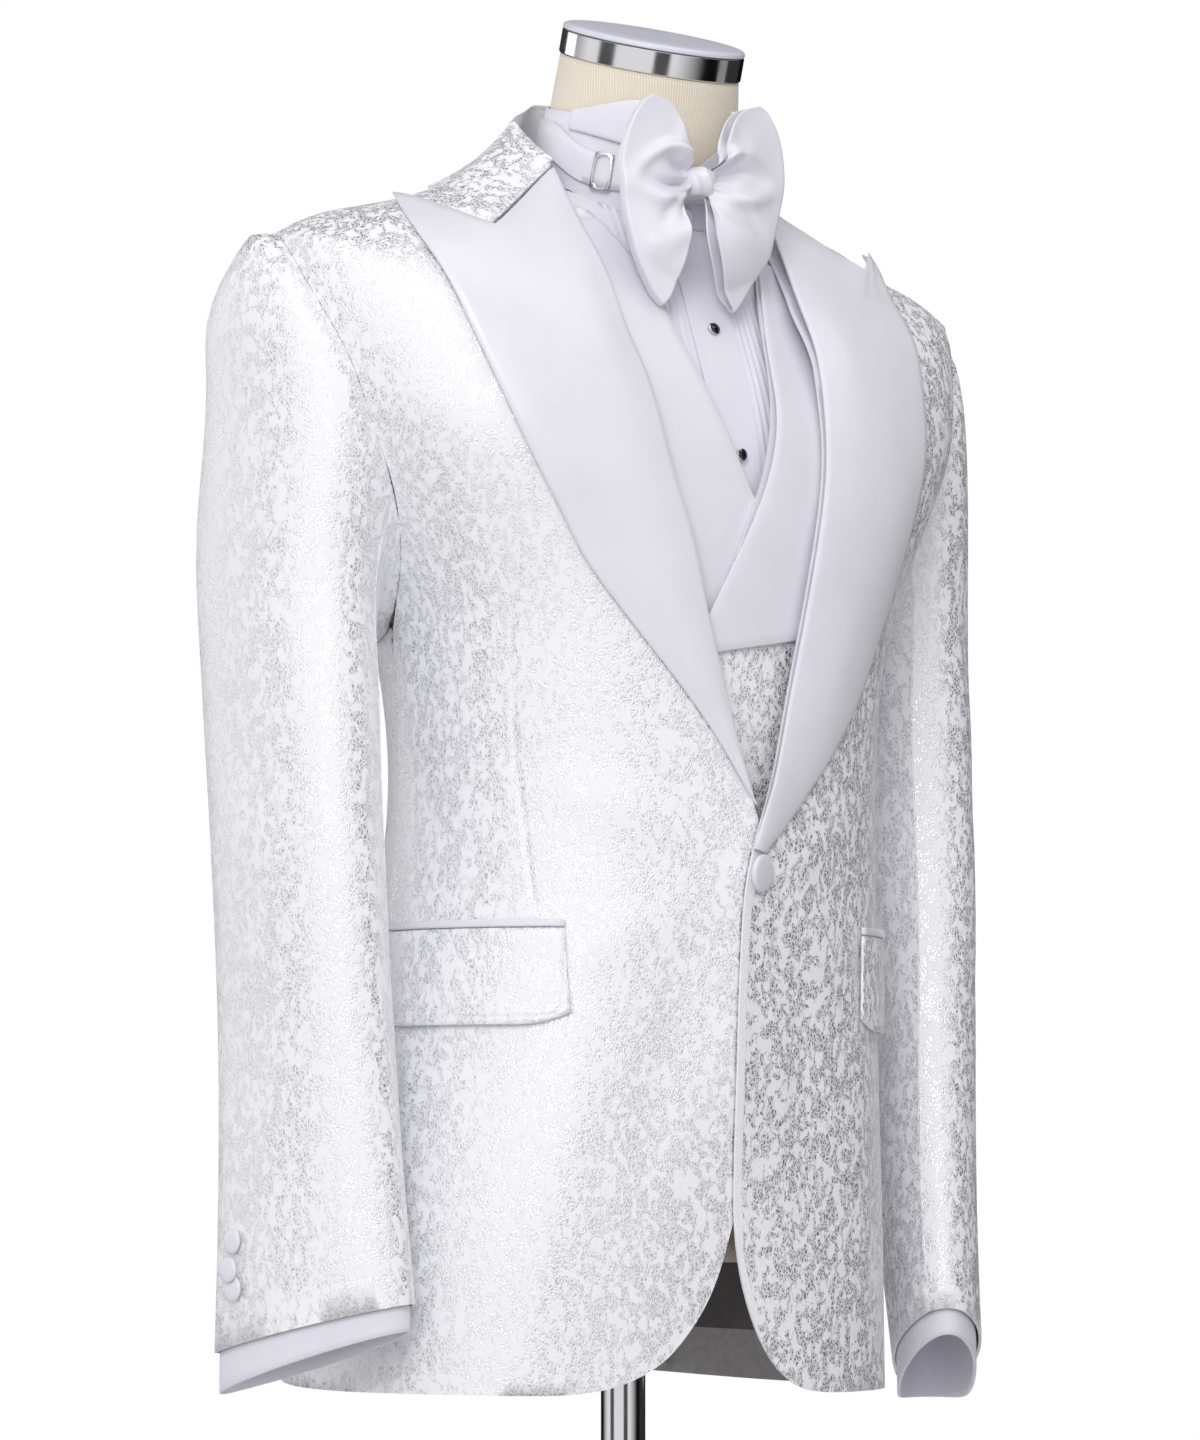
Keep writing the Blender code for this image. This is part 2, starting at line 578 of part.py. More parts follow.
def overlap_lift(side, grid):
    """The left front lies over the right one, and eases back on to the body."""
    if side == RIGHT:
        return np.zeros(grid.shape[:2])
    ease = np.clip((OVERLAP_WIDTH - grid[..., 0]) / OVERLAP_WIDTH, 0, 1)
    return OVERLAP_LIFT * np.minimum(1.0, 1.25 * ease)


def coat_front(side):
    grid = front_grid(side)
    cloth(side_name("coat_front", side), COAT, grid, overlap_lift(side, grid), COAT_CLOTH, BROCADE)


def coat_side(side):
    downs = np.array([row for row in COAT_ROWS if row >= ARMHOLE_FOOT])
    shares = np.linspace(0, 1, 4)
    left = np.stack([side * seam_turns(downs, "front_turn"), downs], -1)
    right = np.stack([side * seam_turns(downs, "back_turn"), downs], -1)
    grid = patch(left, right, shares)
    sag = ARMHOLE_DIP * np.sin(math.pi * shares)
    grid[0, :, 1] += sag
    cloth(side_name("coat_side", side), COAT, grid, 0.0, COAT_CLOTH, BROCADE)


def coat_back(side):
    downs = np.array(COAT_ROWS)
    left = np.stack([side * seam_turns(downs, "back_turn"), downs], -1)
    right = np.stack([np.full(len(downs), side * 180.0), downs], -1)
    grid = patch(left, right, np.linspace(0, 1, 8))
    cloth(side_name("coat_back", side), COAT, grid, 0.0, COAT_CLOTH, BROCADE)


# ---------------------------------------------------------------- sleeves
def armhole_loop(side):
    """Points of the armhole seam, from the shoulder tip forward, under and back up."""
    rows = np.array([row for row in COAT_ROWS if SHOULDER_TIP <= row <= ARMHOLE_FOOT])
    front = np.stack([seam_turns(rows, "front_turn"), rows], -1)
    back = np.stack([seam_turns(rows, "back_turn"), rows], -1)
    shares = np.linspace(0, 1, 4)[1:-1]
    under = np.stack([front[-1, 0] + (back[-1, 0] - front[-1, 0]) * shares,
                      ARMHOLE_FOOT + ARMHOLE_DIP * np.sin(math.pi * shares)], -1)
    places = np.concatenate([front, under, back[::-1][:-1]])
    loop = COAT.point(side * places[:, 0], places[:, 1], COAT_CLOTH)
    inwards = loop.mean(axis=0) - loop
    return loop + 2 * SEAM * inwards / np.linalg.norm(inwards, axis=1, keepdims=True)


def sleeve_grid(side):
    """Rings of the sleeve, each with a point for every point of the armhole."""
    loop = armhole_loop(side)
    steps = np.linalg.norm(np.roll(loop, -1, axis=0) - loop, axis=1)
    travelled = np.concatenate([[0], np.cumsum(steps)[:-1]])
    angles = math.tau * travelled / steps.sum()
    rings = []
    for row in SLEEVE:
        ring = dict(zip(SLEEVE_COLUMNS, row))
        fore = ring["fore"] * np.sin(angles)
        low = np.clip((LEFT_FLAT_FROM - ring["z_out"]) / LEFT_FLAT_HEIGHT, 0, 1) if side == LEFT else 0.0
        wide = ring["wide"] * np.cos(angles) * (1 - LEFT_FLATTER * low)
        turned_in = math.radians(ring["turned"] + LEFT_TURNED * low)
        outwards = wide * math.cos(turned_in) - fore * math.sin(turned_in)
        forwards = fore * math.cos(turned_in) + wide * math.sin(turned_in)
        middle = (ring["z_out"] + ring["z_in"]) / 2
        lift = (ring["z_out"] - ring["z_in"]) / 2 * np.cos(angles)
        droop = LEFT_SHOULDER_DROP if side == LEFT else 0.0
        slant = SLEEVE_HEM_SLANT[side] * np.sin(angles) if row is SLEEVE[-1] else 0.0
        oval = np.stack([side * (ring["x"] - ARM_IN[side] + outwards), ring["y"] - forwards,
                         middle + lift + slant - droop], -1)
        rings.append(loop * (1 - ring["blend"]) + oval * ring["blend"])
    return np.array(rings)


def outward_grid(points, side):
    """Outward directions of a sleeve grid, the same way out on both sides."""
    return grid_normals(points, closed=True) * -side


UNDER_FROM, UNDER_TO = 6, 12      # columns of the sleeve where the under sleeve lies


def coat_sleeve(side):
    points = sleeve_grid(side)
    inner = points - outward_grid(points, side) * COAT_CLOTH
    count = points.shape[1]
    over = [k % count for k in range(UNDER_TO, count + UNDER_FROM + 1)]
    under = list(range(UNDER_FROM, UNDER_TO + 1))
    for name, which in (("sleeve_top", over), ("sleeve_under", under)):
        wall(side_name(name, side), trim(inner[:, which]), trim(points[:, which]), BROCADE)


def shirt_cuff(side):
    """A tube inside the sleeve's end that comes out below its hem."""
    points = sleeve_grid(side)
    out = outward_grid(points, side)
    share = (CUFF_HEIGHT - CUFF_DROP) / np.linalg.norm(points[-1] - points[-2], axis=1).mean()
    upper = points[-1] * (1 - share) + points[-2] * share - out[-1] * CUFF_INSET
    hem = points[-1] - out[-1] * CUFF_INSET
    lower = hem.copy()
    lower[:, 2] -= CUFF_DROP + CUFF_SLANT * (hem[:, 1] - hem[:, 1].mean()) / np.ptp(hem[:, 1])
    lower[:, 2] = np.maximum(lower[:, 2], CUFF_LOWEST)
    inner = np.array([upper, hem, lower])
    outer = inner + outward_grid(inner, side) * CUFF_CLOTH
    wall(side_name("shirt_cuff", side), inner, outer, COTTON, closed=True)


def shirt_sleeve(side):
    points = sleeve_grid(side)
    inner = (points - outward_grid(points, side) * SHIRT_SLEEVE_INSET[side])[:, ::2]
    foot = inner[-1:] * SHIRT_SLEEVE_FOOT + inner[-2:-1] * (1 - SHIRT_SLEEVE_FOOT)
    inner = np.concatenate([inner[[3, 5, 7, 9]], foot])
    outer = inner + outward_grid(inner, side) * SHIRT_CLOTH
    wall(side_name("shirt_sleeve", side), inner, outer, COTTON, closed=True)


# ---------------------------------------------------------------- jacket trim
def lapel_grid(side, rows=14, columns=7):
    edge = places_of(COAT, FRONT_EDGE[side])
    outer_edge = places_of(COAT, LAPEL_EDGE[side])
    top = np.array(LAPEL_TOP[side]) * (side, 1)
    foot = COAT.find(0.0, ROLL_FOOT[side])[1]
    v = np.linspace(0, 1, rows)
    left = edge_line(edge, top[0, 1] + (foot - top[0, 1]) * v)
    right = edge_line(outer_edge, top[-1, 1] + (outer_edge[-1, 1] - top[-1, 1]) * v)
    shares = np.linspace(0, 1, columns)
    return patch(left, right, shares, top=along_line(top, shares), hold=4), v, shares


def coat_lapel(side):
    grid, v, shares = lapel_grid(side)
    rise = LAPEL_LIFT * np.sin(math.pi * shares) ** 0.7
    fade = np.sin(math.pi * np.clip(v, 0.03, 0.97)) ** 0.5
    at_peak = PEAK_REST[side] * (1 - v[:, None]) ** 3
    out = COAT_CLOTH + LAPEL_REST + at_peak + rise[None, :] * fade[:, None] + overlap_lift(side, grid)
    cloth(side_name("coat_lapel", side), COAT, grid, out, COAT_SATIN, SATIN)


def collar_section(side, row, over):
    """Collar cut across at a station: up the stand, over the fold, down the leaf."""
    foot_turn = side * row["foot_turn"]
    foot = COAT.point(foot_turn, 0.0, -COAT_CLOTH / 2) + np.array([0, 0, 0.0035])
    fold_x = side * row["fold_x"]
    fold = np.array([fold_x, row["fold_y"], row["fold_z"] - left_drop(fold_x)])
    stand_away = np.array([fold[0], fold[1] + 0.012, 0.0])
    stand_away = stand_away / np.linalg.norm(stand_away)
    points = []
    for share in (0.0, 0.55):
        points.append(foot * (1 - share) + fold * share - stand_away * (COAT_CLOTH * over))
    points.append(fold + np.array([0, 0, COAT_CLOTH * over]) - stand_away * COAT_CLOTH * 0.2)
    rest = COAT.point(foot_turn, 0.0, COAT_CLOTH)
    shorter = 1 + (COLLAR_END[side] - 1) * min(1.0, (180 - row["edge_turn"]) / 90)
    for share in (0.16, 0.4, 0.7, 1.0):
        turn = foot_turn + (side * row["edge_turn"] - foot_turn) * share
        down = row["edge_down"] * shorter * share
        out = COAT_CLOTH + COLLAR_REST + COAT_CLOTH * over
        points.append(COAT.point(turn, down, out) + (fold - rest) * (1 - share) ** COLLAR_FALL)
    return points


def coat_collar():
    rows = np.arange(len(COLLAR))
    half = []
    for station in COLLAR_STATIONS:
        half.append({name: float(smooth(rows, column(COLLAR, COLLAR_COLUMNS, name), station))
                     for name in COLLAR_COLUMNS})
    stations = [(RIGHT, row) for row in half] + [(LEFT, row) for row in half[-2::-1]]
    inner = np.array([collar_section(side, row, 0.0) for side, row in stations])
    outer = np.array([collar_section(side, row, 1.0) for side, row in stations])
    wall("coat_collar", inner, outer, BROCADE)


def flap_grid(side, z_top, z_foot, columns, rows, corner=0.0):
    """Places of a strip across the front at pocket height, its foot's ends rounded off."""
    down_top = COAT.find(0.0, z_top)[1]
    down_foot = COAT.find(0.0, z_foot)[1]
    grid = []
    for v in np.linspace(0, 1, rows):
        down = down_top + (down_foot - down_top) * v
        front = COAT.turn_at(FLAP_FRONT_X[side], down)
        turns = np.linspace(front, FLAP_BACK_TURN[side], columns)
        grid.append(np.stack([turns, np.full(columns, down)], -1))
    grid = np.array(grid)
    grid[-1, [0, -1], 1] -= corner
    return grid


def coat_pocket(side):
    under = COAT_CLOTH + FLAP_REST
    grid = flap_grid(side, FLAP_TOP_Z - WELT_HEIGHT - 2 * SEAM, FLAP_TOP_Z - FLAP_DROP, 9, 4,
                     FLAP_CORNER)
    out = under + overlap_lift(side, grid)
    cloth(side_name("pocket_flap", side), COAT, grid, out, COAT_CLOTH, BROCADE)
    grid = flap_grid(side, FLAP_TOP_Z, FLAP_TOP_Z - WELT_HEIGHT, 9, 2)
    out = under + overlap_lift(side, grid)
    cloth(side_name("pocket_welt", side), COAT, grid, out, WELT_CLOTH, SATIN)


def domed(size, thick):
    """Profile of a covered button: a flat back, a round edge and a low dome."""
    radius = size / 2
    return ((radius * 0.55, 0.0), (radius * 0.95, thick * 0.22), (radius, thick * 0.5),
            (radius * 0.86, thick * 0.8), (radius * 0.45, thick * 0.98))


def coat_buttons():
    turn, down = COAT.find(*FRONT_BUTTON)
    out = COAT.outward(np.float64(turn), np.float64(down))
    seat = COAT.point(turn, down, COAT_CLOTH + OVERLAP_LIFT + 2 * SEAM)
    turned("coat_button", domed(FRONT_BUTTON_SIZE, FRONT_BUTTON_THICK), seat, out, 18, SATIN)
    for side in (RIGHT, LEFT):
        points = sleeve_grid(side)
        out = outward_grid(points, side)
        line = points[-2:, BUTTON_COLUMN]
        facing = out[-2:, BUTTON_COLUMN]
        for number, (height, lift) in enumerate(CUFF_BUTTONS):
            share = (line[0, 2] - height) / (line[0, 2] - line[1, 2])
            place = line[0] * (1 - share) + line[1] * share
            way = facing[0] * (1 - share) + facing[1] * share
            way = way / np.linalg.norm(way)
            seat = place + way * (2 * SEAM + lift)
            name = side_name("cuff_button_%d" % (number + 1), side)
            turned(name, domed(CUFF_BUTTON_SIZE, CUFF_BUTTON_THICK), seat, way, 10, SATIN)


# ---------------------------------------------------------------- waistcoat
def vest_side_turns(downs, table):
    rows = np.array(table, float)
    return np.interp(downs, rows[:, 0], rows[:, 1])


def vest_out(side, grid):
    """The left front lies over the right one, and comes down to its level all round."""
    across = np.clip((VEST_CROSS - side * grid[..., 0]) / 20, 0, 1)
    ease = across * np.clip((grid[..., 1] - 0.14) / 0.08, 0, 1)
    close = VEST_CLOSE * np.clip(1 - grid[..., 1] / 0.10, 0, 1)
    return VEST_OUT[RIGHT] - close + (VEST_OUT[side] - VEST_OUT[RIGHT]) * ease


def vest_front(side):
    downs = np.array(VEST_ROWS)
    edge = places_of(FORM, VEST_EDGE[side])
    edge_downs = edge[0, 1] + (downs - downs[0]) * (edge[-1, 1] - edge[0, 1]) / (downs[-1] - downs[0])
    left = edge_line(edge, edge_downs)
    right = np.stack([side * vest_side_turns(downs, VEST_ARMHOLE), downs], -1)
    shares = np.linspace(0, 1, 8)
    grid = patch(left, right, shares)
    cloth(side_name("vest_front", side), FORM, grid, vest_out(side, grid), VEST_CLOTH, BROCADE)


def vest_back():
    downs = np.array(VEST_ROWS)
    turns = vest_side_turns(downs, VEST_BACK_ARMHOLE)
    left = np.stack([turns, downs], -1)
    right = np.stack([360 - turns, downs], -1)
    grid = patch(left, right, np.linspace(0, 1, 11))
    out = VEST_OUT[RIGHT] + VEST_BACK_EASE * np.clip(grid[..., 1] / 0.07, 0, 1)
    cloth("vest_back", FORM, grid, out, VEST_CLOTH, SATIN)


def vest_lapel(side):
    edge = places_of(FORM, VEST_EDGE[side])
    foot = FORM.find(*VEST_LAPEL_FOOT[side])[1]
    outer_edge = places_of(FORM, VEST_LAPEL_EDGE[side])
    v = np.linspace(0, 1, 11)
    top = edge[0, 1] + VEST_LAPEL_START
    left = edge_line(edge, top + (foot - top) * v)
    right = edge_line(outer_edge, outer_edge[0, 1] + (outer_edge[-1, 1] - outer_edge[0, 1]) * v)
    shares = np.linspace(0, 1, 5)
    grid = patch(left, right, shares)
    under = vest_out(side, grid) + VEST_CLOTH + VEST_LAPEL_REST
    cloth(side_name("vest_lapel", side), FORM, grid, under, VEST_SATIN, SATIN)


# ---------------------------------------------------------------- shirt
def shirt_front(side):
    """A front with pin tucks beside the placket: each tuck rises and drops sharply."""
    downs = np.array(SHIRT_ROWS)
    start = PLACKET_X + side * (PLACKET_WIDTH / 2 - PLACKET_UNDERLAP)
    across, heights = [start], [0.0]
    x = PLACKET_X + side * (PLACKET_WIDTH / 2 + TUCKS_START)
    for _ in range(PLEATS):
        across += [x, x + side * PLEAT_PITCH * TUCK_SHARE]
        heights += [0.0, PLEAT_HEIGHT]
        x += side * PLEAT_PITCH
    grid = []
    for down in downs:
        turns = [FORM.turn_at(place, down) for place in across]
        last = turns[-1]
        turns += [last + (side * 90 - last) * share for share in SHIRT_SIDE_SHARES]
        grid.append([(turn, down) for turn in turns])
    heights += [0.0] * len(SHIRT_SIDE_SHARES)
    out = SHIRT_OUT + np.array(heights)[None, :] + np.zeros((len(downs), 1))
    cloth(side_name("shirt_front", side), FORM, np.array(grid), out, SHIRT_CLOTH, COTTON)


def shirt_back():
    downs = np.array(SHIRT_ROWS)
    left = np.stack([np.full(len(downs), 90.0), downs], -1)
    right = np.stack([np.full(len(downs), 270.0), downs], -1)
    grid = patch(left, right, np.linspace(0, 1, 13))
    cloth("shirt_back", FORM, grid, SHIRT_OUT, SHIRT_CLOTH, COTTON)


def shirt_placket():
    grid = []
    for down in SHIRT_ROWS:
        grid.append([(FORM.turn_at(PLACKET_X + share * PLACKET_WIDTH, down), down)
                     for share in (-0.5, 0.0, 0.5)])
    out = SHIRT_OUT + SHIRT_CLOTH + SEAM
    cloth("shirt_placket", FORM, np.array(grid), out, SHIRT_CLOTH, COTTON)


def neck_top(turn):
    """Point on the rim of the form's neck, on a plane tilted forward."""
    tilt = math.radians(NECK_TILT)
    side = NECK_TOP_RADIUS * np.sin(np.radians(turn))
    face = NECK_TOP_RADIUS * np.cos(np.radians(turn))
    return np.stack([side, NECK_TOP_Y - face * math.cos(tilt), NECK_TOP_Z - face * math.sin(tilt)], -1)


def neck(turn, share, out=0.0):
    """Point on the neck: share 0 is the base of the neck, 1 is its rim."""
    turn = np.asarray(turn, float)
    base = FORM.surface(turn, 0.0)
    top = neck_top(turn)
    share = np.asarray(share, float)[..., None]
    point = base * (1 - share) + top * share
    away = np.stack([np.sin(np.radians(turn)), -np.cos(np.radians(turn)), 0 * turn], -1)
    return point + away * np.asarray(out, float)[..., None]


def shirt_collar():
    turns = np.linspace(-172, 172, 25) + 180
    rows = np.array((COLLAR_FOOT, 0.18, COLLAR_HEIGHT))[:, None]
    around, height = np.broadcast_arrays(turns[None, :], rows)
    inner = neck(around, height, COLLAR_OUT)
    outer = neck(around, height, COLLAR_OUT + SHIRT_CLOTH)
    wall("shirt_collar_band", inner, outer, COTTON)


def collar_wing(side):
    """The collar's front corner, standing above the band and folded out over it."""
    shares = np.linspace(0, 1, 6)
    turns = side * (WING_BACK_TURN + (WING_FRONT_TURN - WING_BACK_TURN) * shares)
    top = COLLAR_HEIGHT + 0.02 + WING_RISE * np.sin(math.pi / 2 * shares) ** 1.4
    foot = COLLAR_HEIGHT - 0.13
    lean = COLLAR_OUT + SHIRT_CLOTH + 1.5 * SEAM + 0.0025 * shares
    rows = []
    for share in (0.0, 0.5, 1.0):
        rows.append(neck(turns, top + (foot - top) * share, lean + 0.0012 * math.sin(math.pi * share)))
    inner = np.array(rows)
    outer = inner + grid_normals(inner, closed=False) * -side * SHIRT_CLOTH
    wall(side_name("collar_wing", side), inner, outer, COTTON)


def strap_level(turn, z, out):
    """Point on the neck at a height, standing off it."""
    base = FORM.surface(turn, 0.0)[..., 2]
    return neck(turn, (z - base) / (neck_top(turn)[..., 2] - base), out)


def strap_middle(turns):
    rows = np.array(STRAP_LEVELS)
    across = NECK_TOP_RADIUS * np.sin(np.radians(turns))
    level = smooth(rows[:, 0], rows[:, 1], 180 - np.abs(180 - np.asarray(turns) % 360))
    return level - STRAP_DROP * left_drop(across)


def tie_strap():
    """The bow's neck strap: a flat band round the shirt collar."""
    turns = np.linspace(0, 360, 29)[:-1]
    levels = strap_middle(turns) + np.array((0.5, -0.5))[:, None] * STRAP_WIDTH
    around = np.broadcast_to(turns, levels.shape)
    inner = strap_level(around, levels, STRAP_OUT)
    outer = strap_level(around, levels, STRAP_OUT + STRAP_CLOTH)
    wall("tie_strap", inner, outer, SATIN, closed=True)


def tie_slide():
    """A flat metal ring that shortens the strap."""
    loops = []
    for level, wire in ((0.0, 0.0), (0.0, SLIDE_WIRE), (SLIDE_WIRE, SLIDE_WIRE), (SLIDE_WIRE, 0.0)):
        wide = SLIDE_WIDTH / 2 - wire
        tall = SLIDE_HEIGHT / 2 - wire
        turns = SLIDE_TURN + np.array((-wide, wide, wide, -wide)) * SLIDE_DEGREES
        heights = strap_middle(turns) + np.array((tall, tall, -tall, -tall))
        loops.append(strap_level(turns, heights, STRAP_OUT + STRAP_CLOTH + 2 * SEAM + level))
    data = bmesh.new()
    verts = [[data.verts.new(point) for point in loop] for loop in loops]
    for i in range(4):
        for j in range(4):
            data.faces.new((verts[i][j], verts[i][(j + 1) % 4],
                            verts[(i + 1) % 4][(j + 1) % 4], verts[(i + 1) % 4][j]))
    finish("tie_slide", data, CHROME)


def build_form():
    """Torso and neck under one knitted cover, a little smaller where clothes cover it."""
    turns = np.linspace(0, 360, 25)[:-1]
    rings = [neck(turns, share, out) for share, out in ((1.0, 0), (0.8, 0), (0.55, 0), (0.3, -0.001))]
    for down in FORM_ROWS:
        rings.append(FORM.point(turns, down, -FORM_INSET))
    solid("form_torso", rings, KNIT)
    tilt = math.radians(NECK_TILT)
    axis = Vector((0, -math.sin(tilt), math.cos(tilt)))
    foot = Vector((0, NECK_TOP_Y, NECK_TOP_Z)) + axis * SEAM
    radius = NECK_TOP_RADIUS + BAND_PROUD
    turned("form_neck_band", ((radius, 0), (radius, BAND_HEIGHT)), foot, axis, 32, CHROME)
    seat = foot + axis * (BAND_HEIGHT + SEAM)
    cap = ((radius, 0), (radius, CAP_HEIGHT * 0.5), (radius - 0.001, CAP_HEIGHT * 0.85),
           (radius - 0.004, CAP_HEIGHT))
    turned("form_neck_cap", cap, seat, axis, 32, PAINT)


def build_stand():
    foot = FORM_RINGS[-1][6]
    turned("stand_pole", ((POLE_RADIUS, BASE_HEIGHT + SEAM), (POLE_RADIUS, foot - SEAM)),
           (0, 0, 0), (0, 0, 1), 20, CHROME)
    base = ((BASE_RADIUS, 0), (BASE_RADIUS, 0.006), (BASE_RADIUS - 0.004, 0.010),
            (0.060, 0.016), (0.030, BASE_HEIGHT))
    turned("stand_base", base, (0, 0, 0), (0, 0, 1), 36, CHROME)


# ---------------------------------------------------------------- shirt studs
def shirt_studs():
    out = SHIRT_OUT + 2 * SHIRT_CLOTH + 2 * SEAM
    for number, height in enumerate(STUD_HEIGHTS):
        turn, down = FORM.find(PLACKET_X, height)
        way = FORM.outward(np.float64(turn), np.float64(down))
        seat = FORM.point(turn, down, out)
        radius = STUD_SIZE / 2
        profile = ((radius * 0.6, 0), (radius, 0.0008), (radius, 0.0016),
                   (radius * 0.8, 0.0024), (radius * 0.4, 0.0027))
        turned("shirt_stud_%d" % (number + 1), profile, seat, way, 12, JET)
    turn = float(np.degrees(np.arcsin(KNOT.x / 0.064)))
    centre = neck(turn, 0.09, COLLAR_OUT + SHIRT_CLOTH + 3 * SEAM)
    turned("collar_button", domed(COLLAR_BUTTON_SIZE, 0.0024), centre, (0, -1, -0.16), 12, PEARL)


# ---------------------------------------------------------------- bow tie
def bow_line(table, shares):
    rows = np.array(table, float)
    return np.stack([smooth(rows[:, 0], rows[:, 1], shares), smooth(rows[:, 0], rows[:, 2], shares)], -1)


def bow_wing(side):
    """A folded blade: out from the knot in front, round its end and back behind."""
    rows = np.linspace(0, 1, 11)
    ends = bow_line(BOW_END, rows)
    inner_end = BOW_TOP[0][1] / BOW_SPREAD[side]
    near = np.stack([np.full(len(rows), inner_end), BOW_TOP[0][2] * (1 - 2 * rows)], -1)
    steps = np.linspace(0, 1, 7)
    top = bow_line(BOW_TOP, steps)
    foot = bow_line(BOW_FOOT, steps)
    flat = near[:, None] * (1 - steps)[None, :, None] + ends[:, None] * steps[None, :, None]
    v = rows[:, None, None]
    flat = flat + (1 - v) * (top - flat[0])[None] + v * (foot - flat[-1])[None]
    out, up = flat[..., 0] * BOW_SPREAD[side], flat[..., 1]
    puff = BOW_PUFF * np.sin(math.pi * steps * 0.92)[None, :]
    folds = BOW_FOLD * np.sin(rows * math.tau * 2.5)[:, None] * (1 - steps)[None, :]
    back_sweep = BOW_LEAN_OUT * out - BOW_LEAN_DOWN * np.maximum(0, -up)
    x = KNOT.x + side * (out - BOW_CLOSE[side]) - BOW_SWING * np.maximum(0, -up)
    z = KNOT.z + up
    middle = KNOT.y + BOW_DEEP / 4 + folds + back_sweep
    front = np.stack([x, middle - BOW_DEEP / 2 - puff * 0.7, z], -1)
    behind = np.stack([x, middle + BOW_DEEP / 2 + puff * 0.15, z], -1)
    points = np.concatenate([front, behind[:, ::-1]], axis=1)
    normal = grid_normals(points, closed=False)
    wall(side_name("bow_wing", side), points, points + normal * side * TIE_CLOTH, SATIN)


def build_bow():
    for side in (RIGHT, LEFT):
        bow_wing(side)
    wide, deep, tall = KNOT_SIZE
    rings = []
    for height, share in ((-0.5, 0.72), (-0.3, 0.95), (0, 1.0), (0.3, 0.95), (0.5, 0.72)):
        ring = []
        for i in range(12):
            angle = math.tau * i / 12
            ring.append((KNOT.x + wide / 2 * share * math.cos(angle),
                         KNOT.y + deep / 2 * (share * math.sin(angle) + KNOT_BACK),
                         KNOT.z + tall * height))
        rings.append(ring)
    solid("bow_knot", rings, SATIN)


def build_all():
    clear_scene()
    build_stand()
    build_form()
    shirt_back()
    shirt_placket()
    shirt_collar()
    shirt_studs()
    tie_strap()
    tie_slide()
    vest_back()
    coat_collar()
    coat_buttons()
    build_bow()
    for side in (RIGHT, LEFT):
        shirt_front(side)
        collar_wing(side)
        shirt_cuff(side)
        shirt_sleeve(side)
        vest_front(side)
        vest_lapel(side)
        coat_front(side)
        coat_side(side)
        coat_back(side)
        coat_sleeve(side)
        coat_lapel(side)
        coat_pocket(side)


build_all()
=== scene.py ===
import math

import bmesh
import bpy
import numpy as np
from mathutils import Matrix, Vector


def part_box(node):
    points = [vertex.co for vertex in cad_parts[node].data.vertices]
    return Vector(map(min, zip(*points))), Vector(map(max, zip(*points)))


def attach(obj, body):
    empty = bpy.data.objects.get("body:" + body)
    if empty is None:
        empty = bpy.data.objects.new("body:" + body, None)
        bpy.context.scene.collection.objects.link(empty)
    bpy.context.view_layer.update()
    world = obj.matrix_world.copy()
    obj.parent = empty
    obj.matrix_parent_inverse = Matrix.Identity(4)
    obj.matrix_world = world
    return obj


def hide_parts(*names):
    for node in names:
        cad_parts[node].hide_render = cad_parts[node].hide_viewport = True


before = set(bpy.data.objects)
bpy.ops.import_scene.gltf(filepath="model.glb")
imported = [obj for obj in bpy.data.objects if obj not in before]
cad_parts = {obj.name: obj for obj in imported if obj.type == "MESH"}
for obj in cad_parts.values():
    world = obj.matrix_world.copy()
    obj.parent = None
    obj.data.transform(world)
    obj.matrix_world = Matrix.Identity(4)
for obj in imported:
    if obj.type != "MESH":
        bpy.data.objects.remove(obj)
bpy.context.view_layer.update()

scene = bpy.context.scene

# ---------------------------------------------------------------- camera, floor and light
# A long lens stands to the wearer's right and looks a little upwards. A broad soft light
# comes from high on the camera's left, weaker ones from above, from the far side and from
# behind. The room is bright to the wearer's front right and dim behind and overhead.
VIEW_TURN = math.radians(33)
VIEW_DISTANCE = 3.9
VIEW_HEIGHT = 0.90
VIEW_ASIDE = -0.014
VIEW_PITCH = math.radians(4.556)
towards = Vector((-math.sin(VIEW_TURN), -math.cos(VIEW_TURN), 0))
aside = Vector((math.cos(VIEW_TURN), -math.sin(VIEW_TURN), 0))
camera = bpy.data.objects.new("camera", bpy.data.cameras.new("camera"))
scene.collection.objects.link(camera)
camera.location = towards * VIEW_DISTANCE + aside * VIEW_ASIDE + Vector((0, 0, VIEW_HEIGHT))
camera.rotation_euler = (math.pi / 2 + VIEW_PITCH, 0, -VIEW_TURN)
camera.data.lens = 160
camera.data.sensor_width = 36
scene.camera = camera
scene.view_settings.view_transform = "Standard"


def soft_light(name, place, aim, wide, tall, watts):
    lamp = bpy.data.objects.new(name, bpy.data.lights.new(name, "AREA"))
    lamp.data.shape = "RECTANGLE"
    lamp.data.size, lamp.data.size_y = wide, tall
    lamp.data.energy = watts
    lamp.location = place
    way = Vector(aim) - Vector(place)
    lamp.rotation_euler = way.to_track_quat("-Z", "Y").to_euler()
    scene.collection.objects.link(lamp)


soft_light("key_light", (-1.9, -2.3, 2.6), (0, 0, 1.35), 1.3, 1.8, 39)
soft_light("top_light", (0.3, -0.9, 3.2), (0, 0, 1.3), 1.4, 1.4, 8)
soft_light("side_light", (2.6, -0.9, 1.8), (0.1, 0, 1.2), 0.8, 1.8, 1.5)
soft_light("back_light", (-1.2, 2.6, 1.8), (0, 0, 1.2), 1.2, 1.8, 12)

world = bpy.data.worlds.new("studio")
scene.world = world
world.use_nodes = True
sky = world.node_tree
sky.nodes.clear()
room = sky.nodes.new("ShaderNodeBackground")
room.inputs["Color"].default_value = (0.97, 0.97, 1.0, 1)
backdrop = sky.nodes.new("ShaderNodeBackground")
backdrop.inputs["Color"].default_value = (1, 1, 1, 1)
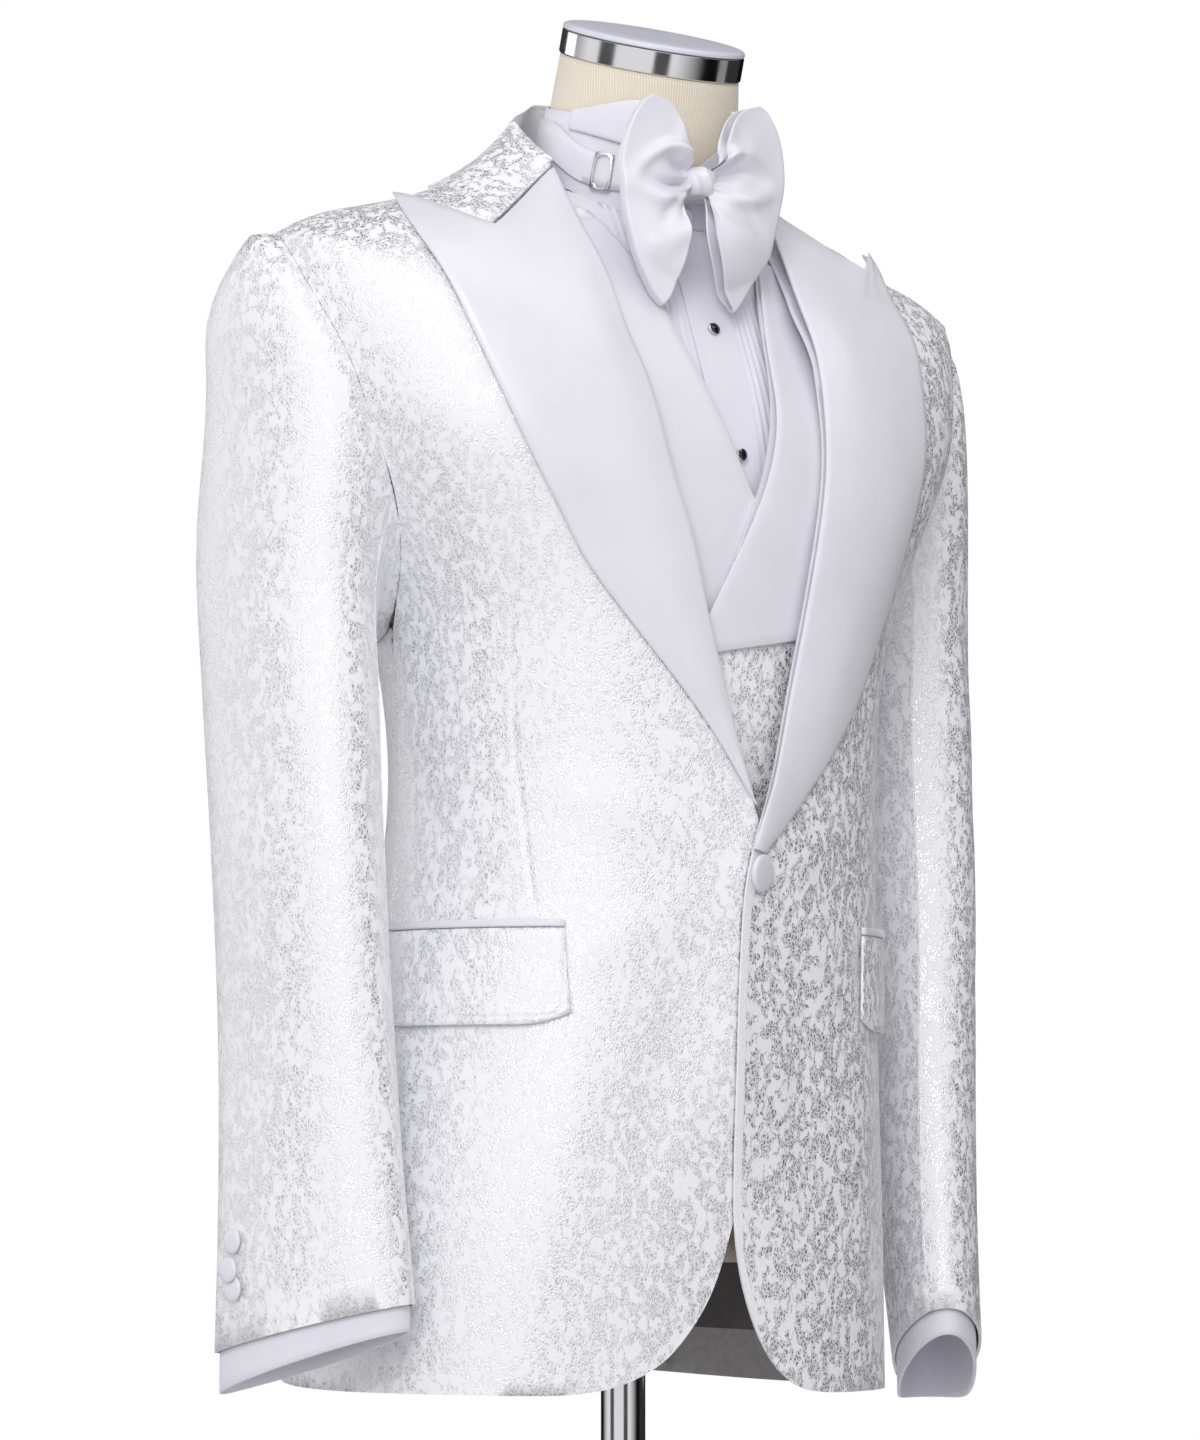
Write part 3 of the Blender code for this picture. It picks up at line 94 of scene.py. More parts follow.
# Polished metal mirrors a studio of pale panels with dark gaps between them.
panels = sky.nodes.new("ShaderNodeBackground")
way = sky.nodes.new("ShaderNodeTexCoord")
way_parts = sky.nodes.new("ShaderNodeSeparateXYZ")
sky.links.new(way.outputs["Generated"], way_parts.inputs[0])
seen = sky.nodes.new("ShaderNodeLightPath")
sky_out = sky.nodes.new("ShaderNodeOutputWorld")


def choose(share, first, second):
    pick = sky.nodes.new("ShaderNodeMixShader")
    for socket, value in zip(pick.inputs, (share, first, second)):
        sky.links.new(value, socket)
    return pick.outputs[0]


def material(name, roughness, metallic=0.0, colour=(0.8, 0.8, 0.8), **sockets):
    """A Principled material with its even values set on its own sockets."""
    made = bpy.data.materials.new(name)
    made.use_nodes = True
    shader = made.node_tree.nodes["Principled BSDF"]
    shader.inputs["Base Color"].default_value = (*colour, 1)
    shader.inputs["Roughness"].default_value = roughness
    shader.inputs["Metallic"].default_value = metallic
    for socket, value in sockets.items():
        shader.inputs[socket.replace("_", " ")].default_value = value
    return made


def noise(tree, vector, scale, detail=2.0, distortion=0.0):
    node = tree.nodes.new("ShaderNodeTexNoise")
    node.inputs["Scale"].default_value = scale
    node.inputs["Detail"].default_value = detail
    node.inputs["Distortion"].default_value = distortion
    tree.links.new(vector, node.inputs["Vector"])
    return node


def ramp(tree, value, low, high, low_out=0.0, high_out=1.0):
    """Value from low to high becomes low_out to high_out, and stays there beyond."""
    node = tree.nodes.new("ShaderNodeMapRange")
    tree.links.new(value, node.inputs["Value"])
    for socket, number in zip(("From Min", "From Max", "To Min", "To Max"),
                              (low, high, low_out, high_out)):
        node.inputs[socket].default_value = number
    return node.outputs["Result"]


def combine(tree, operation, first, second):
    node = tree.nodes.new("ShaderNodeMath")
    node.operation = operation
    for socket, value in zip(node.inputs, (first, second)):
        if isinstance(value, (int, float)):
            socket.default_value = value
        else:
            tree.links.new(value, socket)
    return node.outputs[0]


def object_place(tree):
    return tree.nodes.new("ShaderNodeTexCoord").outputs["Object"]


PANELS_ROUND, PANELS_TURN = 5.0, 0.35
BRIGHT_TURN = math.radians(60)       # the room's bright side, from the front to the wearer's right
turn_seen = combine(sky, "ARCTAN2", way_parts.outputs[1], way_parts.outputs[0])
turn_seen = combine(sky, "ADD", turn_seen, PANELS_TURN)
gaps = combine(sky, "SINE", combine(sky, "MULTIPLY", turn_seen, PANELS_ROUND), 0.0)
fronting = combine(sky, "ADD", combine(sky, "MULTIPLY", way_parts.outputs[0], -math.sin(BRIGHT_TURN)),
                   combine(sky, "MULTIPLY", way_parts.outputs[1], -math.cos(BRIGHT_TURN)))
bright = ramp(sky, fronting, -0.15, 0.50, 0.05, 1.36)
low_light = ramp(sky, way_parts.outputs[2], -0.7, 0.3, 0.48, 1.0)
high_light = ramp(sky, way_parts.outputs[2], 0.35, 0.95, 1.0, 0.7)
level_light = combine(sky, "MULTIPLY", low_light, high_light)
sky.links.new(combine(sky, "MULTIPLY", ramp(sky, fronting, -0.6, 0.6, 0.34, 0.86), level_light),
              room.inputs["Strength"])
sky.links.new(combine(sky, "MULTIPLY", ramp(sky, gaps, -0.75, -0.45, 0.10, 1.0), bright),
              panels.inputs["Strength"])
lit = choose(seen.outputs["Is Glossy Ray"], room.outputs[0], panels.outputs[0])
lit = choose(seen.outputs["Is Camera Ray"], lit, backdrop.outputs[0])
sky.links.new(lit, sky_out.inputs[0])

floor_paint = material("floor_paint", 0.6, colour=(0.78, 0.78, 0.79))
tree = floor_paint.node_tree
patchy = noise(tree, object_place(tree), 3.0)
tree.links.new(ramp(tree, patchy.outputs[0], 0.3, 0.7, 0.5, 0.65),
               tree.nodes["Principled BSDF"].inputs["Roughness"])
FLOOR_HALF, FLOOR_LEVEL = 1.6, -0.0005
floor_corners = [(x * FLOOR_HALF, y * FLOOR_HALF, FLOOR_LEVEL)
                 for x, y in ((-1, -1), (1, -1), (1, 1), (-1, 1))]
floor_mesh = bpy.data.meshes.new("floor")
floor_mesh.from_pydata(floor_corners, [], [(0, 1, 2, 3)])
floor_mesh.materials.append(floor_paint)
floor = bpy.data.objects.new("floor", floor_mesh)
scene.collection.objects.link(floor)

# ---------------------------------------------------------------- stand
# The form's stand: a plated steel tube on a round spun base, both bright chrome with faint
# wiping marks. The tube is pushed up into the torso.
chrome = material("chrome", 0.10, metallic=1.0, colour=(0.62, 0.62, 0.64))
tree = chrome.node_tree
wipe = noise(tree, object_place(tree), 60.0, detail=4)
tree.links.new(ramp(tree, wipe.outputs[0], 0.3, 0.75, 0.06, 0.18),
               tree.nodes["Principled BSDF"].inputs["Roughness"])


def add_piece(name, mesh, nodes):
    """A finished piece: it rides on the object and stands for its CAD nodes."""
    thing = bpy.data.objects.new(name, mesh)
    scene.collection.objects.link(thing)
    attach(thing, "root")
    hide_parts(*nodes)
    return thing


def spin(name, rows, place, axis, sides, materials):
    """A turned mesh. Rows are radius, height and material number, from back to front."""
    data = bmesh.new()
    turn = Vector((0, 0, 1)).rotation_difference(Vector(axis).normalized())
    rings = []
    for radius, height, _ in rows:
        ring = []
        for i in range(sides):
            angle = math.tau * i / sides
            flat = Vector((radius * math.cos(angle), radius * math.sin(angle), height))
            ring.append(data.verts.new(Vector(place) + turn @ flat))
        rings.append(ring)
    for i in range(len(rings) - 1):
        for j in range(sides):
            k = (j + 1) % sides
            face = data.faces.new((rings[i][j], rings[i][k], rings[i + 1][k], rings[i + 1][j]))
            face.material_index = rows[i + 1][2]
    data.faces.new(rings[0]).material_index = rows[0][2]
    data.faces.new(rings[-1]).material_index = rows[-1][2]
    bmesh.ops.recalc_face_normals(data, faces=data.faces)
    mesh = bpy.data.meshes.new(name)
    data.to_mesh(mesh)
    data.free()
    for made in materials:
        mesh.materials.append(made)
    mesh.shade_smooth()
    mesh.set_sharp_from_angle(angle=math.radians(40))
    return mesh


POLE_RADIUS = 0.0135
pole_low, pole_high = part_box("stand_pole")
pole_rows = [(POLE_RADIUS - 0.0005, 0.0, 0), (POLE_RADIUS, 0.0006, 0),
             (POLE_RADIUS, pole_high[2] - pole_low[2], 0)]
add_piece("pole", spin("pole", pole_rows, (0, 0, pole_low[2]), (0, 0, 1), 64, [chrome]),
          ["stand_pole"])
BASE_RADIUS, BASE_HEIGHT = 0.175, 0.022
base_rows = [(BASE_RADIUS - 0.001, 0, 0), (BASE_RADIUS, 0.001, 0), (BASE_RADIUS, 0.0055, 0),
             (BASE_RADIUS - 0.001, 0.0075, 0), (BASE_RADIUS - 0.004, 0.0095, 0),
             (0.120, 0.0125, 0), (0.070, 0.0150, 0), (0.044, 0.0175, 0), (0.032, 0.0205, 0),
             (0.028, BASE_HEIGHT, 0)]
add_piece("base", spin("base", base_rows, (0, 0, 0), (0, 0, 1), 96, [chrome]),
          ["stand_base"])

# ---------------------------------------------------------------- dress form
# A limbless torso under a cream knitted cover with fine upright ribs. At the neck a bright
# metal band holds the cover, closed by a flat light grey cap with a rounded rim.
NECK_BACK = 0.030         # how far the neck's middle lies in front of the pole
SEAM_CLOSE = 0.00014      # how far a cut edge is let out to meet the next piece
SAME_POINT = 0.00003


def meet_seams(data, by):
    """Lets the cut edges of a cloth piece out, so that sewn pieces meet without a gap."""
    moves = []
    for vert in data.verts:
        largest = max(vert.link_faces, key=lambda face: face.calc_area())
        edges = [face.normal for face in vert.link_faces if abs(face.normal.dot(largest.normal)) < 0.5]
        if edges:
            moves.append((vert, sum(edges, Vector()).normalized() * by))
    for vert, move in moves:
        vert.co += move


def finer(name, levels, crisp=1.0, crisp_angle=50, sewn=0.0):
    """A copy of a CAD node's form, its faces made four-sided again and then subdivided."""
    data = bmesh.new()
    data.from_mesh(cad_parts[name].data)
    bmesh.ops.remove_doubles(data, verts=data.verts, dist=SAME_POINT)
    bmesh.ops.join_triangles(data, faces=data.faces, angle_face_threshold=math.radians(35),
                             angle_shape_threshold=math.radians(70))
    data.normal_update()
    if sewn:
        meet_seams(data, sewn)
    crease = data.edges.layers.float.new("crease_edge")
    for edge in data.edges:
        if len(edge.link_faces) == 2 and edge.calc_face_angle(0) > math.radians(crisp_angle):
            edge[crease] = crisp
    mesh = bpy.data.meshes.new(name + "_rough")
    data.to_mesh(mesh)
    data.free()
    thing = bpy.data.objects.new(name + "_rough", mesh)
    scene.collection.objects.link(thing)
    smoother = thing.modifiers.new("finer", "SUBSURF")
    smoother.levels = smoother.render_levels = levels
    evaluated = thing.evaluated_get(bpy.context.evaluated_depsgraph_get())
    made = bpy.data.meshes.new_from_object(evaluated)
    bpy.data.objects.remove(thing)
    made.name = name
    return made


def points_of(mesh):
    points = np.empty(len(mesh.vertices) * 3)
    mesh.vertices.foreach_get("co", points)
    return points.reshape(-1, 3)


def put_points(mesh, points):
    mesh.vertices.foreach_set("co", points.ravel())
    mesh.update()


def finish_mesh(mesh, materials, sharp=45):
    mesh.materials.clear()
    for made in materials:
        mesh.materials.append(made)
    mesh.shade_smooth()
    mesh.set_sharp_from_angle(angle=math.radians(sharp))


def blend(tree, share, first, second):
    """Colour between two colours or colour outputs."""
    node = tree.nodes.new("ShaderNodeMix")
    node.data_type = "RGBA"
    tree.links.new(share, node.inputs[0])
    for socket, value in ((node.inputs[6], first), (node.inputs[7], second)):
        if isinstance(value, tuple):
            socket.default_value = (*value, 1)
        else:
            tree.links.new(value, socket)
    return node.outputs[2]


def raise_by(tree, height, shader, strength, distance):
    bump = tree.nodes.new("ShaderNodeBump")
    bump.inputs["Strength"].default_value = strength
    bump.inputs["Distance"].default_value = distance
    tree.links.new(height, bump.inputs["Height"])
    tree.links.new(bump.outputs[0], shader.inputs["Normal"])
    return bump


RIB_RATE, STITCH_RATE = 190.0, 3600.0
knit = material("ribbed_knit", 0.9, colour=(0.84, 0.77, 0.64), Sheen_Weight=0.25)
tree = knit.node_tree
place = object_place(tree)
split = tree.nodes.new("ShaderNodeSeparateXYZ")
tree.links.new(place, split.inputs[0])
fore = combine(tree, "ADD", split.outputs[1], NECK_BACK)
angle = combine(tree, "ARCTAN2", split.outputs[0], fore)
ribs = combine(tree, "SINE", combine(tree, "MULTIPLY", angle, RIB_RATE), 0.0)
stitches = combine(tree, "SINE", combine(tree, "MULTIPLY", split.outputs[2], STITCH_RATE), 0.0)
wander = noise(tree, place, 900.0, detail=2)
height = combine(tree, "ADD", ramp(tree, ribs, -1, 1, 0, 0.7), ramp(tree, stitches, -1, 1, 0, 0.15))
height = combine(tree, "ADD", height, combine(tree, "MULTIPLY", wander.outputs[0], 0.4))
shader = tree.nodes["Principled BSDF"]
raise_by(tree, height, shader, 0.55, 0.0006)
# Painted shade: the knit is coloured darker in its rib and stitch valleys. The wander noise in the height
# adds random tone.
tree.links.new(blend(tree, ramp(tree, height, 0.2, 1.1), (0.76, 0.67, 0.52), (0.90, 0.84, 0.72)),
               shader.inputs["Base Color"])
form_mesh = finer("form_torso", 2)
points = points_of(form_mesh)
# Where the shirt's stand covers the neck, the knit is pressed in a little.
PRESSED_FROM, PRESSED_TO, PRESSED_BY = 1.440, 1.562, 0.0024
NECK_MIDDLE = (0, -0.010)
covered = np.clip((PRESSED_TO - points[:, 2]) / 0.020, 0, 1)
covered *= np.clip((points[:, 2] - PRESSED_FROM) / 0.030, 0, 1)
inwards = np.array(NECK_MIDDLE) - points[:, :2]
inwards /= np.maximum(np.linalg.norm(inwards, axis=1, keepdims=True), 0.001)
points[:, :2] += inwards * (PRESSED_BY * covered)[:, None]
put_points(form_mesh, points)
finish_mesh(form_mesh, [knit])
add_piece("form_body", form_mesh, ["form_torso"])


def seat_of(name):
    """Centre, outward axis, radius and thickness of a small turned CAD node."""
    points = points_of(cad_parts[name].data)
    centre = points.mean(axis=0)
    axes = np.linalg.svd(points - centre, full_matrices=False)[2]
    along = (points - centre) @ axes.T
    reach = np.ptp(along, axis=0)
    pick_axis = int(np.argmin(reach))
    axis = axes[pick_axis]
    if axis @ (centre * (1, 1, 0)) < 0:
        axis = -axis
    depth = (points - centre) @ axis
    radius = np.linalg.norm((points - centre) - depth[:, None] * axis, axis=1).max()
    return centre + axis * depth.min(), axis, radius, np.ptp(depth)


NECK_TILT = math.radians(18)
neck_axis = (0, -math.sin(NECK_TILT), math.cos(NECK_TILT))
NECK_TOP = Vector((0, -0.0300, 1.6100)) + Vector(neck_axis) * 0.0003
NECK_RADIUS, BAND_HEIGHT, CAP_HEIGHT = 0.0564, 0.0145, 0.0040
band_rows = [(NECK_RADIUS - 0.0006, 0, 0), (NECK_RADIUS, 0.0006, 0),
             (NECK_RADIUS, BAND_HEIGHT - 0.0005, 0), (NECK_RADIUS - 0.0005, BAND_HEIGHT, 0)]
band_mesh = spin("neck_band", band_rows, NECK_TOP, neck_axis, 128, [chrome])
add_piece("neck_band", band_mesh, ["form_neck_band"])
grey_cap = material("grey_cap", 0.38, colour=(0.70, 0.71, 0.78))
tree = grey_cap.node_tree
dusty = noise(tree, object_place(tree), 400.0, detail=3)
raise_by(tree, dusty.outputs[0], tree.nodes["Principled BSDF"], 0.08, 0.0004)
tree.links.new(ramp(tree, dusty.outputs[0], 0.3, 0.7, 0.30, 0.46),
               tree.nodes["Principled BSDF"].inputs["Roughness"])
cap_rows = [(NECK_RADIUS - 0.0008, 0, 0), (NECK_RADIUS, 0.0006, 0), (NECK_RADIUS, 0.0020, 0),
            (NECK_RADIUS - 0.0005, 0.0029, 0), (NECK_RADIUS - 0.0016, 0.0036, 0),
            (NECK_RADIUS - 0.0034, CAP_HEIGHT, 0), (0.03, CAP_HEIGHT, 0)]
cap_seat = NECK_TOP + Vector(neck_axis) * (BAND_HEIGHT + 0.0003)
cap_mesh = spin("neck_cap", cap_rows, cap_seat, neck_axis, 128, [grey_cap])
add_piece("neck_cap", cap_mesh, ["form_neck_cap"])

# ---------------------------------------------------------------- shirt
# A plain white cotton dress shirt: pin tucks each side of a front band, a stiff stand
# collar with wings folded down in front, and double cuffs that show below the sleeves.
WEAVE_SKEW, CLOUD_RATE = 0.7, 26.0
weave_group = bpy.data.node_groups.new("fine_weave", "ShaderNodeTree")
weave_group.interface.new_socket("Place", in_out="INPUT", socket_type="NodeSocketVector")
weave_group.interface.new_socket("Threads", in_out="INPUT", socket_type="NodeSocketFloat")
weave_group.interface.new_socket("Height", in_out="OUTPUT", socket_type="NodeSocketFloat")
weave_group.interface.new_socket("Cloudy", in_out="OUTPUT", socket_type="NodeSocketFloat")
entry = weave_group.nodes.new("NodeGroupInput")
leave = weave_group.nodes.new("NodeGroupOutput")
split = weave_group.nodes.new("ShaderNodeSeparateXYZ")
weave_group.links.new(entry.outputs["Place"], split.inputs[0])
level = combine(weave_group, "MULTIPLY", split.outputs[2], entry.outputs["Threads"])
round_way = combine(weave_group, "MULTIPLY", split.outputs[1], WEAVE_SKEW)
round_way = combine(weave_group, "ADD", split.outputs[0], round_way)
across = combine(weave_group, "MULTIPLY", round_way, entry.outputs["Threads"])
warp = combine(weave_group, "SINE", across, 0.0)
weft = combine(weave_group, "SINE", level, 0.0)
threads = combine(weave_group, "MULTIPLY", warp, weft)
cloud = noise(weave_group, entry.outputs["Place"], CLOUD_RATE, detail=3)
weave_group.links.new(ramp(weave_group, threads, -1, 1), leave.inputs["Height"])
weave_group.links.new(ramp(weave_group, cloud.outputs[0], 0.25, 0.75), leave.inputs["Cloudy"])


def woven(name, low_colour, high_colour, roughness, threads, strength, **sockets):
    """Plain cloth: a fine weave, and a faint cloudiness of colour."""
    made = material(name, roughness, **sockets)
    tree = made.node_tree
    weave = tree.nodes.new("ShaderNodeGroup")
    weave.node_tree = weave_group
    weave.inputs["Threads"].default_value = threads
    tree.links.new(object_place(tree), weave.inputs["Place"])
    shader = tree.nodes["Principled BSDF"]
    tree.links.new(blend(tree, weave.outputs["Cloudy"], low_colour, high_colour),
                   shader.inputs["Base Color"])
    tree.links.new(ramp(tree, weave.outputs["Cloudy"], 0, 1, roughness - 0.05, roughness + 0.05),
                   shader.inputs["Roughness"])
    raise_by(tree, weave.outputs["Height"], shader, strength, 0.0002)
    return made


cotton = woven("shirt_cotton", (0.77, 0.76, 0.82), (0.82, 0.81, 0.87), 0.78, 5200.0, 0.12,
               Sheen_Weight=0.1)


def sheet_cut(thing):
    """Reads a cloth piece's points. It declares nothing and keeps nothing."""
    points = points_of(thing.data)


def cloth_piece(name, node, materials, levels=2,
                crisp=1.0, crisp_angle=50, shape=None, sewn=SEAM_CLOSE):
    """A cloth piece made from its CAD node's form, shaped further by a function of points."""
    mesh = finer(node, levels, crisp, crisp_angle, sewn if crisp == 1.0 else 0.0)
    if shape is not None:
        put_points(mesh, shape(points_of(mesh)))
    finish_mesh(mesh, materials)
    thing = add_piece(name, mesh, [node])
    sheet_cut(thing)
    return thing


RIGHT, LEFT = -1, 1      # the wearer's sides
SIDES = ((RIGHT, "_right"), (LEFT, "_left"))
cloth_piece("shirt_back_panel", "shirt_back", [cotton])
cloth_piece("shirt_band", "shirt_placket", [cotton])
STAND_END, STAND_COLUMN = 0.0095, 0.0259      # how far out its ends and the curve before them lie
STAND_FRONT = -0.055                          # the ends lie in front of this
STAND_LOWER, STAND_LOWER_ROUND = 0.0022, 0.0030
STAND_FORWARD, STAND_MEET = 0.0009, 0.0002
TIP_FROM, TIP_SLOPE = 1.520, 0.50             # the ends' upper corners are sloped off


def closed_stand(points):
    """The stand buttons together in front, and its lower edge is sewn inside the neckline."""
    moved = points.copy()
    low = np.clip((points[:, 2].mean() - 0.2 * np.ptp(points[:, 2]) - points[:, 2]) / 0.01, 0, 1)
    moved[:, 2] -= low * (STAND_LOWER + STAND_LOWER_ROUND * (np.abs(points[:, 0]) > 0.025))
    near_end = np.clip((STAND_COLUMN - np.abs(points[:, 0])) / (STAND_COLUMN - STAND_END), 0, 1.05)
    near_end *= points[:, 1] < STAND_FRONT
    moved[:, 0] -= np.sign(points[:, 0]) * near_end * (STAND_END - STAND_MEET)
    moved[:, 1] -= near_end * STAND_FORWARD
    moved[:, 2] -= near_end * np.clip(points[:, 2] - TIP_FROM, 0, 0.05) * TIP_SLOPE
    return moved


cloth_piece("collar_stand", "shirt_collar_band", [cotton], shape=closed_stand)
for side, end in SIDES:
    cloth_piece("tucked_front" + end, "shirt_front" + end, [cotton], crisp_angle=24)
    cloth_piece("collar_tip" + end, "collar_wing" + end, [cotton], crisp=0.9)

# ---------------------------------------------------------------- shirt studs and collar button
# Each stud is a polished black dome set in a fine silver rim, pushed through the front band.
# The collar closes with a small dished pearl button, sewn to the stand's end.
jet = material("jet_stud", 0.08, colour=(0.006, 0.006, 0.008), Coat_Weight=0.6)
tree = jet.node_tree
smear = noise(tree, object_place(tree), 700.0)
tree.links.new(ramp(tree, smear.outputs[0], 0.3, 0.8, 0.05, 0.14),
               tree.nodes["Principled BSDF"].inputs["Roughness"])
for number in (1, 2):
    node = "shirt_stud_%d" % number
    seat, axis, radius, thick = seat_of(node)
    rows = [(radius * 0.6, 0, 0), (radius * 0.96, 0.0005, 0), (radius, 0.0011, 0),
            (radius * 0.97, 0.0018, 0), (radius * 0.80, 0.0020, 0), (radius * 0.78, 0.0019, 1),
            (radius * 0.62, 0.0024, 1), (radius * 0.40, thick * 0.97, 1), (radius * 0.15, thick, 1)]
    add_piece("stud_%d" % number, spin("stud", rows, seat, axis, 40, [chrome, jet]), [node])
pearl = material("pearl_button", 0.22, colour=(0.86, 0.84, 0.87), Coat_Weight=0.5)
tree = pearl.node_tree
shimmer = noise(tree, object_place(tree), 500.0, detail=3, distortion=1.0)
tree.links.new(blend(tree, shimmer.outputs[0], (0.80, 0.76, 0.82), (0.92, 0.92, 0.95)),
               tree.nodes["Principled BSDF"].inputs["Base Color"])
seat, axis, radius, thick = seat_of("collar_button")
PEARL_SHIFT = (0.0055, -0.0014, 0.0)      # onto the end of the closed stand
seat = seat + np.array(PEARL_SHIFT)
rows = [(radius * 0.9, 0, 0), (radius, thick * 0.35, 0), (radius * 0.96, thick * 0.8, 0),
        (radius * 0.85, thick, 0), (radius * 0.70, thick * 0.75, 0), (radius * 0.3, thick * 0.62, 0)]
add_piece("neck_button", spin("neck_button", rows, seat, axis, 40, [pearl]),
          ["collar_button"])

# ---------------------------------------------------------------- waistcoat
# Two fronts of the same brocade that cross at the breast, with wide satin revers laid on
# them, and a plain satin back. The brocade is white looped threads over a silvery ground.
SCALE_RATE, PATCH_RATE, DRIFT_RATE, SPECK_RATE = 560.0, 210.0, 45.0, 1500.0
BEND_RATE, BEND_BY = 150.0, 0.005
SCALE_SLANT, SCALE_STRETCH = (0.5, 0.7, 0.3), (1.0, 1.0, 0.62)
brocade_group = bpy.data.node_groups.new("brocade_threads", "ShaderNodeTree")
brocade_group.interface.new_socket("Place", in_out="INPUT", socket_type="NodeSocketVector")
brocade_group.interface.new_socket("Thread", in_out="OUTPUT", socket_type="NodeSocketFloat")
brocade_group.interface.new_socket("Glint", in_out="OUTPUT", socket_type="NodeSocketFloat")
brocade_group.interface.new_socket("Height", in_out="OUTPUT", socket_type="NodeSocketFloat")
entry = brocade_group.nodes.new("NodeGroupInput")
leave = brocade_group.nodes.new("NodeGroupOutput")
place = entry.outputs["Place"]
bend_noise = noise(brocade_group, place, BEND_RATE, detail=2)
bend_scale = brocade_group.nodes.new("ShaderNodeVectorMath")
bend_scale.operation = "SCALE"
bend_scale.inputs["Scale"].default_value = BEND_BY
brocade_group.links.new(bend_noise.outputs["Color"], bend_scale.inputs[0])
bent = brocade_group.nodes.new("ShaderNodeVectorMath")
bent.operation = "ADD"
brocade_group.links.new(place, bent.inputs[0])
brocade_group.links.new(bend_scale.outputs[0], bent.inputs[1])
slanted = brocade_group.nodes.new("ShaderNodeMapping")
slanted.inputs["Rotation"].default_value = SCALE_SLANT
slanted.inputs["Scale"].default_value = SCALE_STRETCH
brocade_group.links.new(bent.outputs[0], slanted.inputs["Vector"])
scales = brocade_group.nodes.new("ShaderNodeTexVoronoi")
scales.feature = "DISTANCE_TO_EDGE"
scales.inputs["Scale"].default_value = SCALE_RATE
brocade_group.links.new(slanted.outputs[0], scales.inputs["Vector"])
crackle = ramp(brocade_group, scales.outputs["Distance"], 0.05, 0.20, 0.80, 0.0)
patches = noise(brocade_group, slanted.outputs[0], PATCH_RATE, detail=4, distortion=0.6)
drift = noise(brocade_group, place, DRIFT_RATE, detail=2)
cover = ramp(brocade_group, drift.outputs[0], 0.35, 0.65, -0.035, 0.035)
filled = ramp(brocade_group, combine(brocade_group, "ADD", patches.outputs[0], cover), 0.50, 0.54)
thread = combine(brocade_group, "MAXIMUM", crackle, filled)
specks = brocade_group.nodes.new("ShaderNodeTexVoronoi")
specks.inputs["Scale"].default_value = SPECK_RATE
brocade_group.links.new(place, specks.inputs["Vector"])
speck = brocade_group.nodes.new("ShaderNodeSeparateColor")
brocade_group.links.new(specks.outputs["Color"], speck.inputs[0])
brocade_group.links.new(thread, leave.inputs["Thread"])
brocade_group.links.new(speck.outputs[0], leave.inputs["Glint"])
brocade_group.links.new(combine(brocade_group, "ADD", thread,
                                combine(brocade_group, "MULTIPLY", speck.outputs[1], 0.25)),
                        leave.inputs["Height"])

GROUND_DARK, GROUND_LIGHT = (0.66, 0.66, 0.69), (0.95, 0.95, 0.97)
THREAD_WHITE = (0.92, 0.92, 0.945)


def stored(tree, name):
    """A value kept for each point of a piece, or nought where the piece keeps none."""
    node = tree.nodes.new("ShaderNodeAttribute")
    node.attribute_name = name
    return node.outputs["Fac"]


def brocade_material(name):
    made = material(name, 0.5, Sheen_Weight=0.15)
    tree = made.node_tree
    pattern = tree.nodes.new("ShaderNodeGroup")
    pattern.node_tree = brocade_group
    tree.links.new(object_place(tree), pattern.inputs["Place"])
    shader = tree.nodes["Principled BSDF"]
    ground = blend(tree, pattern.outputs["Glint"], GROUND_DARK, GROUND_LIGHT)
    bound = ramp(tree, stored(tree, "bound_edge"), 0.47, 0.53)
    white = combine(tree, "MAXIMUM", pattern.outputs["Thread"], bound)
    tree.links.new(blend(tree, white, ground, THREAD_WHITE), shader.inputs["Base Color"])
    tree.links.new(ramp(tree, white, 0, 1, 0.88, 0.0), shader.inputs["Metallic"])
    tree.links.new(ramp(tree, white, 0, 1, 0.40, 0.66), shader.inputs["Roughness"])
    groove = ramp(tree, combine(tree, "ABSOLUTE", stored(tree, "seam_line"), 0.0), 0.0003, 0.0022, 1.0, 0.0)
    groove = combine(tree, "MULTIPLY", groove, stored(tree, "seam_here"))
    height = combine(tree, "SUBTRACT", pattern.outputs["Height"], combine(tree, "MULTIPLY", groove, 3.5))
    raise_by(tree, combine(tree, "ADD", height, bound), shader, 0.6, 0.00022)
    return made


brocade = brocade_material("silver_white_brocade")
satin = woven("white_satin", (0.77, 0.76, 0.815), (0.81, 0.80, 0.855), 0.32, 3000.0, 0.04,
              Sheen_Weight=0.25, Specular_IOR_Level=0.55)
WRAP_WIDE, WRAP_ABOVE, WRAP_FROM = 0.009, 0.04, 0.004


def inner_edge(node, side, slices=90):
    """Heights, and how far out a node's most central points lie at each of them."""
    points = points_of(finer(node, 1))
    levels = np.linspace(points[:, 2].min(), points[:, 2].max(), slices)
    out = [(points[np.abs(points[:, 2] - level) < 0.012, 0] * side).min() for level in levels]
    return levels, np.array(out)


def face_edge(thing, over, side, slot_number):
    """Satin wraps a front's edge wherever its lapel rolls over it."""
    levels, out = inner_edge(over, side)
    for face in thing.data.polygons:
        place = face.center
        reach = float(np.interp(place.z, levels, out)) + WRAP_WIDE
        if levels[0] + WRAP_FROM < place.z < levels[-1] + WRAP_ABOVE and place.x * side < reach:
            face.material_index = slot_number


cloth_piece("waistcoat_back", "vest_back", [satin])
for side, end in SIDES:
    front = cloth_piece("waistcoat_front" + end, "vest_front" + end, [brocade, satin])
    face_edge(front, "vest_lapel" + end, side, 1)
    cloth_piece("waistcoat_rever" + end, "vest_lapel" + end, [satin],
                crisp=0.9)
